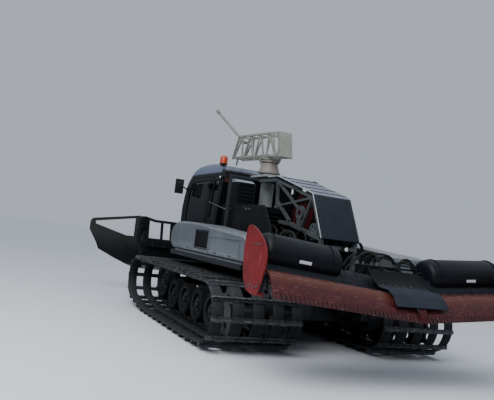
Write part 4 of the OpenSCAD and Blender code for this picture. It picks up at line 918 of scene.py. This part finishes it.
def frame_part(c):
    """The side posts with their cross bar are 2, and the pale column is 1."""
    if ahead(2.43) < c.x < ahead(2.49) and c.z < 2.86:
        return 2
    return int(abs(c.y) < 0.345 and ahead(2.05) < c.x < ahead(2.87) and c.z > 2.30)


dressed("winch_frame", winch_grey, 5, 2, [column_grey, post_grey], frame_part)
# Red enamel, painted a deep wine as painted shade for the frame's shadow over the drum, is rubbed brown where the rope
# runs.
drum_red = coated("satin_red_enamel_painted_shade", "#26060a", "#380a0e", 0.45, film_and_sheen=0.03, shine=0.12, rub=0.2, rub_colour="#6a3a38",
                  rub_mm=(30, 8, 30))
dressed("winch_drum", drum_red, 3)
# Greased rope is dark between its strands and a worn grey on top of them.
# The real rope is 12 mm thick; its turns and strands are drawn twice as coarse so that they show.
wire = banded("greased_wire_rope", 9, "#2b2b2b", "#6f6c66", 0.6, 3, distortion=1.0, rough=0.42, metal=0.8)
winding = bmesh.new()
rope_turns, rope_step, rope_r, core_r, drum_half = 22, 0.024, 0.262, 0.225, 0.264
turns = [(core_r, -drum_half)]
for k in range(rope_turns):
    y = k * rope_step - (drum_half - rope_step / 2)
    turns += [(rope_r + 0.011 * math.cos(t), y + 0.012 * math.sin(t)) for t in (-1.2, -0.5, 0.0, 0.5, 1.2)]
turns += [(core_r, drum_half)]
turned(winding, (ahead(0.720), 0, 2.190), turns, 56)
with_node(new_piece("wound_winch_rope", winding, wire, smooth_deg=50), "winch_drum")
# The cover's slope is a dusty grey, painted paler still as a painted sheen of the sky, and its upright rear sheet a
# dark slate.
cover_grey = coated("dusty_grey_sheet_enamel_painted_sheen", "#4c525e", "#687080", 0.4, film_and_sheen=0.3, film_and_sheen_colour="#a3a8b6", patch_mm=300)
cover_slate = coated("satin_slate_sheet_enamel", "#0d141c", "#18212b", 0.4, film_and_sheen=0.04, patch_mm=600, shine=0.15)
dressed("winch_cover", cover_slate, 3, 2, [cover_grey], lambda c: c.z > 2.5 and c.x > ahead(0.30))
# The edge profile is paler still, so it draws the cover's outline.
pale_edge = coated("pale_edge_profile", "#7f8589", "#a2a8ab", 0.45, film_and_sheen=0.05)
cover_line = [(2.000, 2.855), (1.590, 2.853), (0.335, 2.521), (0.305, 2.496), (-0.084, 1.795)]


def on_slope(a):
    """The height of the cover's sloping sheet."""
    return 2.864 - (1.59 - a) * 0.2635


edges = bmesh.new()
for s in both:
    line = [(ahead(a), s * 0.370, z) for a, z in subdivided(cover_line, 0.3, False)]
    sweep(edges, line, round_section(11), (0, 1, 0))
    for a in (1.45, 1.11, 0.77, 0.43):
        sweep(edges, [(ahead(a), y, on_slope(a)) for y in (-0.35, 0.35)], flat_section(26, 6), (0, 0, 1), 1)
with_node(new_piece("cover_edges", edges, pale_edge, cover_grey), "winch_cover")
slope_rivets = [(0.45 + 0.16 * k, on_slope(0.45 + 0.16 * k)) for k in range(7)]
rear_rivets = [(0.292 - 0.388 * t, 2.500 - 0.700 * t) for t in (0.06 + 0.125 * k for k in range(8))]
bolted("cover_rivets", "winch_cover", 12, [
    ((a, s * 0.335, z), way) for rivets, way in ((slope_rivets, (-0.25, 0, 1)), (rear_rivets, (-0.87, 0, 0.48)))
    for s in both for a, z in rivets])
bolted_sides("frame_bolts", "winch_frame", 24, [(a, 0.35, z) for a, z in (
    (1.55, 2.275), (1.63, 2.275), (1.60, 2.34), (0.72, 2.285), (0.815, 2.19), (0.72, 2.095), (0.625, 2.19),
    (0.37, 2.44), (-0.02, 1.80), (-0.02, 1.30), (1.66, 2.76), (0.60, 1.90), (0.72, 1.96), (1.04, 2.02))])


def smooth_path(points, s=1, steps=6):
    """A smooth curve through places of (a, y, z), on the left or mirrored to the right."""
    p = [Vector((ahead(a), s * y, z)) for a, y, z in (points[0], *points, points[-1])]
    found = []
    for i in range(1, len(p) - 2):
        a, b, c, d = p[i - 1 : i + 3]
        for t in (k / steps for k in range(steps)):
            found.append(0.5 * (
                2 * b + (c - a) * t + (2 * a - 5 * b + 4 * c - d) * t ** 2 + (3 * b - a - 3 * c + d) * t ** 3))
    return found + [p[-2]]


rail = bmesh.new()
rail_run = [(3.355, 0.940, 2.29), (3.345, 0.985, 2.29), (3.18, 0.990, 2.268), (2.68, 0.975, 2.183),
            (2.52, 0.970, 2.155), (2.505, 0.952, 2.15)]
for s in both:
    sweep(rail, smooth_path(rail_run, s), round_section(10, 8), (0, 0, 1))
with_node(new_piece("step_rails", rail, winch_grey), "winch_frame")

# --- Hydraulics ---
# Black valve blocks and tanks with crimped high pressure hoses. The hoses are
# rubber with a cloth-marked cover, and their ends are zinc plated.

# Cloth-marked rubber is matt black with a faint slanting weave.
# The real weave is 3 mm apart; it is drawn 12 mm apart so that it shows.
hose_rubber = banded("cloth_marked_hose_rubber", 12, "#08090a", "#191b1d", 0.25, 1, distortion=0.5, rough=0.6,
                     shine=0.25)
dressed("winch_hydraulics", black_coat, 6, 2, [hose_rubber], lambda c: c.z > 1.702)
dressed("tiller_hoses", hose_rubber, 1, 1)
ferrules = bmesh.new()
for y, r in ((0.296, 0.165), (-0.03, 0.150), (-0.395, 0.130)):
    for end in (y - r, y + r):
        rod(ferrules, (ahead(-1.2), end, 1.495), (ahead(-1.2), end, 1.545), 0.025, 14)
        rod(ferrules, (ahead(-1.2), end, 1.494), (ahead(-1.2), end, 1.508), 0.032, 6)
with_node(new_piece("hose_ferrules", ferrules, bolt_zinc), "tiller_hoses")

# The jumper hoses between the carrier and the drive of each half bend with it.
# Each hose is a row of points: ahead, sideways and up.
jumpers_left = [
    [(-1.20, 0.44, 1.494), (-1.20, 0.45, 1.57), (-1.23, 0.52, 1.62), (-1.27, 0.64, 1.58), (-1.29, 0.75, 1.46),
     (-1.29, 0.83, 1.40), (-1.29, 0.905, 1.385)],
    [(-1.20, 0.14, 1.494), (-1.20, 0.15, 1.58), (-1.25, 0.26, 1.655), (-1.30, 0.46, 1.64), (-1.34, 0.66, 1.50),
     (-1.34, 0.79, 1.36), (-1.34, 0.905, 1.32)]]
jumpers_right = [
    [(-1.20, -0.17, 1.494), (-1.21, -0.17, 1.53), (-1.26, -0.22, 1.575), (-1.28, -0.34, 1.595), (-1.29, -0.46, 1.565),
     (-1.30, -0.515, 1.48), (-1.31, -0.54, 1.38), (-1.31, -0.60, 1.31), (-1.31, -0.685, 1.29)],
    [(-1.20, 0.36, 1.494), (-1.22, 0.345, 1.58), (-1.27, 0.24, 1.65), (-1.29, 0.08, 1.665), (-1.29, -0.06, 1.62),
     (-1.28, -0.16, 1.53), (-1.26, -0.30, 1.535), (-1.25, -0.46, 1.52), (-1.25, -0.58, 1.43), (-1.25, -0.685, 1.40)],
    [(-1.20, 0.22, 1.494), (-1.21, 0.215, 1.56), (-1.25, 0.16, 1.61), (-1.28, 0.02, 1.61), (-1.28, -0.16, 1.56),
     (-1.24, -0.38, 1.57), (-1.22, -0.55, 1.52), (-1.21, -0.62, 1.46), (-1.21, -0.685, 1.45)]]
for side, name, runs in ((1, "left", jumpers_left), (-1, "right", jumpers_right)):
    bends = bmesh.new()
    for run in runs:
        sweep(bends, smooth_path(run), round_section(11, 8), (1, 0, 0.02))
        rod(bends, (ahead(run[0][0]), run[0][1], 1.494), (ahead(run[0][0]), run[0][1], 1.535), 0.018, 6, 1)
        a, y, z = run[-1]
        rod(bends, (ahead(a), y - side * 0.05, z), (ahead(a), y, z), 0.018, 6, 1)
    piece = new_piece("jumper_hoses_" + name, bends, hose_rubber, bolt_zinc)
    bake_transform(piece, "tiller_carrier", "tiller_" + name, (ahead(-1.26), side * 0.50, 1.50),
             (ahead(-1.26), side * 0.66, 1.50))

# Each hose is a row of points: ahead, sideways and up.
pipe_runs = [
    [(1.30, 0.40, 1.70), (1.25, 0.42, 1.84), (1.08, 0.46, 1.90), (0.86, 0.50, 1.84), (0.80, 0.52, 1.70)],
    [(1.35, 0.62, 1.70), (1.28, 0.66, 1.86), (1.05, 0.70, 1.92), (0.74, 0.74, 1.86), (0.66, 0.76, 1.70)],
    [(0.60, 0.58, 1.70), (0.56, 0.60, 1.80), (0.46, 0.64, 1.84), (0.30, 0.66, 1.78), (0.25, 0.68, 1.68)],
    [(0.52, 0.50, 1.68), (0.50, 0.48, 1.80), (0.38, 0.46, 1.88), (0.24, 0.46, 1.80), (0.22, 0.46, 1.68)],
    [(1.15, 0.80, 1.70), (1.12, 0.81, 1.80), (1.00, 0.80, 1.86), (0.88, 0.78, 1.80), (0.86, 0.78, 1.70)]]
pipes = bmesh.new()
for s in both:
    for run in pipe_runs:
        sweep(pipes, smooth_path(run, s), round_section(15, 8), (0, 1, 0.02))
        for a, y, z in (run[0], run[-1]):
            rod(pipes, (ahead(a), s * y, z - 0.002), (ahead(a), s * y, z + 0.03), 0.021, 6, 1)
with_node(new_piece("valve_block_hoses", pipes, hose_rubber, bolt_zinc), "winch_hydraulics")
bolted("valve_bolts", "winch_hydraulics", 20, [
    ((a, s * y, 1.70), (0, 0, 1)) for s in both for a in (0.62, 0.9, 1.18, 1.38) for y in (0.34, 0.80)])

# --- Slewing boom ---
# A lattice of thin welded tube on a cast pedestal, sprayed pale grey, with a
# straight tube that points up and carries the rope's outer guide.

# Satin enamel is a pale warm grey, whitened by dried water on the upper tubes.
boom_coat = coated("satin_pale_grey_enamel", "#70726b", "#8d8f87", 0.45, film_and_sheen=0.12, film_and_sheen_colour="#b3b5ae")
dressed("boom", boom_coat, 3)
# The pedestal's enamel is browner, so it stands apart from the lattice.
pedestal_coat = coated("satin_warm_grey_enamel", "#6f6863", "#8b837c", 0.45, film_and_sheen=0.06)
dressed("slew_pedestal", pedestal_coat, 4)
slew_a, slew_bolt_mm = 2.725, 205
bolted("slewing_bolts", "slew_pedestal", 22, [
    ((slew_a + u, v, 3.030), (0, 0, 1)) for u, v in round_section(slew_bolt_mm, 16)[1:]])
bolted_sides("boom_bolts", "boom", 20, (
    (2.60, 0.16, 3.32), (2.85, 0.16, 3.32), (2.20, 0.152, 3.335), (4.36, 0.152, 3.43), (4.14, 0.152, 3.895),
    (2.26, 0.152, 3.785)))

# --- Front blade and wings ---
# A rolled steel mouldboard in black paint, worn bright along the bolted cutting
# edge, with framed windows above and two hinged wings of the same section.

# Worn paint is black with thin level lines where snow has rubbed it grey.
blade_paint = coated("worn_black_blade_paint", "#06080a", "#101317", 0.42, film_and_sheen=0.03, patch_mm=220, shine=0.15,
                     rub=0.22, rub_colour="#4a4c4e", rub_mm=(200, 120, 8))
# Bare edge steel is brighter, and drawn with level scratches 6 mm apart.
bright_edge = coated("worn_edge_steel", "#3a3b3c", "#6a6b6c", 0.35, metal=0.8, rub=0.6, rub_colour="#9a9c9d",
                     rub_mm=(120, 120, 6))
for node in ("blade", "wing_left", "wing_right"):
    dressed(node, blade_paint, 4, 2, [bright_edge], lambda c: c.z < 0.665)
bolted("edge_bolts", "blade", 24, [((6.325, -1.38 + 0.184 * k, 0.672), (0.93, 0, 0.36)) for k in range(16)])
bolted("blade_rib_bolts", "blade", 22, [
    ((6.110, y, z), (-1, 0, 0)) for y in (-1.25, -0.95, -0.35, 0.35, 0.95, 1.25) for z in (1.16, 1.22)])
hoses = bmesh.new()
blade_run = [(5.62, 0.10, 0.99), (5.70, 0.14, 1.12), (5.90, 0.20, 1.20), (6.08, 0.26, 1.19)]
for s in both:
    sweep(hoses, smooth_path(blade_run, s), round_section(13, 8), (0, 1, 0.02))
blade_hoses = new_piece("blade_hoses", hoses, hose_rubber)
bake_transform(blade_hoses, "push_frame", "knuckle", (ahead(5.62), 0, 1.05), (ahead(6.02), 0, 1.15))
# Columns: height, and how far ahead the middle of the rolled plate stands there.
plate_middle = [(0.672, 6.305), (0.80, 6.240), (0.95, 6.228), (1.085, 6.226), (1.20, 6.245), (1.313, 6.267),
                (1.45, 6.295), (1.60, 6.325), (1.73, 6.348), (1.845, 6.369)]
pin_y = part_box("blade")[1].y - 0.045
strip = [(-0.085, -0.004), (0.0, 0.002), (0.082, 0.013), (0.082, 0.022), (0.0, 0.011), (-0.085, 0.004)]
for s, name in each_side:
    seal = bmesh.new()
    rows = [[seal.verts.new((ahead(a + out), s * (pin_y + dy), z)) for dy, out in strip] for z, a in plate_middle]
    ring_of(seal, rows, close=False)
    seal.faces.new(rows[0])
    seal.faces.new(rows[-1])
    piece = new_piece("hinge_seal_" + name, seal, soft_black)
    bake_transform(piece, "blade", "wing_" + name, (ahead(6.33), s * (pin_y - 0.03), 1.2),
             (ahead(6.33), s * (pin_y + 0.06), 1.2))

# --- Rear tiller ---
# Two hinged halves: a moulded black hood over the rotor, a round drive cover, a
# polyurethane smoothing flap with a comb edge, and steel tines in a spiral.

# Moulded polyethylene is a soft blue black; the scuffed skirt below is a paler slate.
hood_plastic = coated("moulded_black_polyethylene", "#05070b", "#0c1118", 0.44, film_and_sheen=0.08, film_and_sheen_colour="#3e4653",
                      patch_mm=700, shine=0.18)
skirt_plastic = coated("scuffed_slate_polyethylene", "#161b22", "#232932", 0.45, film_and_sheen=0.2, film_and_sheen_colour="#4a525e",
                       patch_mm=500)
# Tiller steel is a dark brown grey, blasted paler in 20 mm spots.
rotor_steel = coated("worn_tiller_steel", "#1b1c1d", "#39393a", 0.42, metal=0.6, rub=0.5, rub_mm=(20, 20, 20))
# Polyurethane sheet is a dark red with pale pink scrapes, and browner near the hood.
flap_skin = coated("red_polyurethane_sheet", "#30090d", "#430f15", 0.42, film_and_sheen=0.04, film_and_sheen_colour="#6d5d5c",
                   patch_mm=180, rub=0.42, rub_colour="#9d8482", rub_mm=(140, 95, 10),
                   past=("#451a0f", [("X", ahead(-1.99), ahead(-1.95))]))
# The comb's rubber is a matt wine black.
comb_rubber = coated("comb_edge_rubber", "#0c0a0b", "#1d1214", 0.6)
# Reflective sheet is a bright grey white, a little broken up by its cells.
# The real cells are 3 mm wide; they are drawn 8 mm wide so that they show.
reflector, tree, place = new_surface("white_reflective_strip")
cells = add(tree, "ShaderNodeTexVoronoi", {"Vector": place, "Scale": 1000 / 8.33}).outputs["Distance"]
shaded(tree, layered(tree, "#b9bec6", (cells, "#dfe3ea")), rough=0.3, coat=0.3)
# Each half is bent up round its hinge, and carries a round cover over its drive.
bend, hinge_y, hinge_z = math.radians(4.5), 0.075, 1.120
cover_a, cover_z, cover_r = -1.262, 1.362, 0.2535


def on_half(a, y, z, side):
    """A place on one half of the tiller, from its place before the half is bent up."""
    dy, dz = y - hinge_y, z - hinge_z
    return Vector((ahead(a), side * (hinge_y + dy * math.cos(bend) - dz * math.sin(bend)),
                   hinge_z + dy * math.sin(bend) + dz * math.cos(bend)))


def on_cover(turn, y, side, radius=cover_r):
    """A place on the round drive cover, counted upwards from its rearmost line."""
    return on_half(cover_a - radius * math.cos(turn), y, cover_z + radius * math.sin(turn), side)


def off_cover(c):
    """Whether a point of a half lies off the round drive cover."""
    dy, dz = abs(c.y) - hinge_y, c.z - hinge_z
    level_z = hinge_z + dz * math.cos(bend) - dy * math.sin(bend)
    return math.hypot(c.x - ahead(cover_a), level_z - cover_z) > 0.262


def half_bolts(name, node, size_mm, side, spots):
    """Bolt heads on one half, placed before its bend."""
    tilt = Matrix.Rotation(bend * side, 3, "X")
    bolted(name, node, size_mm, [
        ((a, *on_half(a, y, z, side).yz), tilt @ Vector((way[0], side * way[1], way[2]))) for (a, y, z), way in spots])


tooth_count, tooth_w, comb_start, comb_w = 68, 0.018, 0.045, 2.04
for side, name, cover_start, mark_y in ((1, "left", 0.900, 1.40), (-1, "right", 0.680, 1.30)):
    hood_node, flap_node = "tiller_hood_" + name, "tiller_flap_" + name
    dressed(hood_node, hood_plastic, 9, 3, [skirt_plastic], off_cover)
    dressed(flap_node, flap_skin, 3)
    dressed("rotor_" + name, rotor_steel, 2)
    trim = bmesh.new()
    for y in (0.30, 0.62, cover_start - 0.02, 1.40, 2.03):
        sweep(trim, [on_half(a, y, z, side) for a, z in (
            (-1.538, 1.085), (-1.522, 1.192), (-1.421, 1.302), (-1.331, 1.342), (-1.12, 1.342))],
            flat_section(22, 5), (-1, 0, 1))
    for y in (cover_start + 0.16, 1.93):
        sweep(trim, [on_cover(0.1 + 0.16 * k, y, side) for k in range(17)], flat_section(20, 4), (0, 1, 0))
    with_node(new_piece(hood_node + "_ribs", trim, hood_plastic), hood_node)
    mark = bmesh.new()
    sweep(mark, [on_cover(-0.12, y, side, cover_r - 0.001) for y in (mark_y, mark_y + 0.18)], flat_section(40, 1.2),
          (-0.993, 0, -0.12))
    with_node(new_piece(hood_node + "_reflector", mark, reflector), hood_node)
    half_bolts(hood_node + "_bolts", hood_node, 20, side, [
        ((-1.5385, 0.22 + 0.152 * k, 1.100), (-0.98, 0, 0.17)) for k in range(13)] + [
        ((-1.40, 0.22 + 0.23 * k, 1.312), (-0.42, 0, 0.9)) for k in range(3)])
    half_bolts(flap_node + "_bolts", flap_node, 26, side, [
        ((-1.62, 0.16 + 0.205 * k, 1.1545), (-0.14, 0, 1)) for k in range(10)])
    comb = bmesh.new()
    for k in range(1, tooth_count, 2):
        y = comb_start + k * comb_w / tooth_count
        foot = [on_half(a, y + dy, z, side) for a, dy, z in (
            (-2.105, 0, 0.868), (-2.105, tooth_w, 0.868), (-2.122, tooth_w, 0.878), (-2.122, 0, 0.878))]
        rows = [[comb.verts.new(p + Vector((0.07 * t, 0, 0.09 * t))) for p in foot] for t in (0.5, 0.0)]
        ring_of(comb, rows, close=False)
        comb.faces.new(rows[0][::-1])
        comb.faces.new(rows[1])
    with_node(new_piece(flap_node + "_comb", comb, comb_rubber), flap_node)
# Sheet rubber is a dusty slate grey. Ahead of its bolt line, where it runs in under the carrier, it is painted near
# black as painted shade.
centre_rubber = coated("slate_sheet_rubber_painted_shade", "#191d25", "#252b34", 0.55, film_and_sheen=0.04, film_and_sheen_colour="#4a525e", shine=0.12,
                       rub=0.2, rub_colour="#363c45", rub_mm=(300, 20, 300),
                       past=("#060709", [("X", ahead(-1.67), ahead(-1.66))]))
dressed("centre_flap", centre_rubber, 4)
tongue = bmesh.new()
sweep(tongue, [(ahead(a), 0, z) for a, z in (
    (-1.99, 1.088), (-2.045, 1.050), (-2.083, 0.985), (-2.107, 0.900), (-2.118, 0.862))], flat_section(120, 5),
    (-1, 0, 0.5))
with_node(new_piece("centre_flap_tongue", tongue, flap_skin), "centre_flap")
bolted("centre_flap_bolts", "centre_flap", 22, [
    ((-1.665, -0.36 + 0.12 * k, 1.268), (-0.35, 0, 0.93)) for k in range(7)])

# --- Side finishers ---
# Folded-up leaves of thick red polyethylene on a hinge rod, scraped pale by ice,
# with a bolted steel strap along the hinge.

# Red polyethylene is a waxy brick red with long pale streaks.
leaf_red = coated("red_moulded_polyethylene", "#551013", "#6e181a", 0.45, film_and_sheen=0.03, patch_mm=300, rub=0.25,
                  rub_colour="#a5706a", rub_mm=(30, 200, 420))
leaf_side = 2.232
for side, name in each_side:
    node = "finisher_" + name
    dressed(node, leaf_red, 7, 3)
    half_bolts(node + "_bolts", node, 26, side, [
        ((-1.52 - 0.08 * k, leaf_side, 0.93 + 0.02 * (k % 2)), (0, 1, 0)) for k in range(4)] + [
        ((-1.46 - 0.09 * k, leaf_side, 1.44), (0, 1, 0)) for k in range(3)])

# --- Tidying up ---
# The bolt head model, from which every bolt was copied, is removed.
bpy.data.objects.remove(bolt_head)
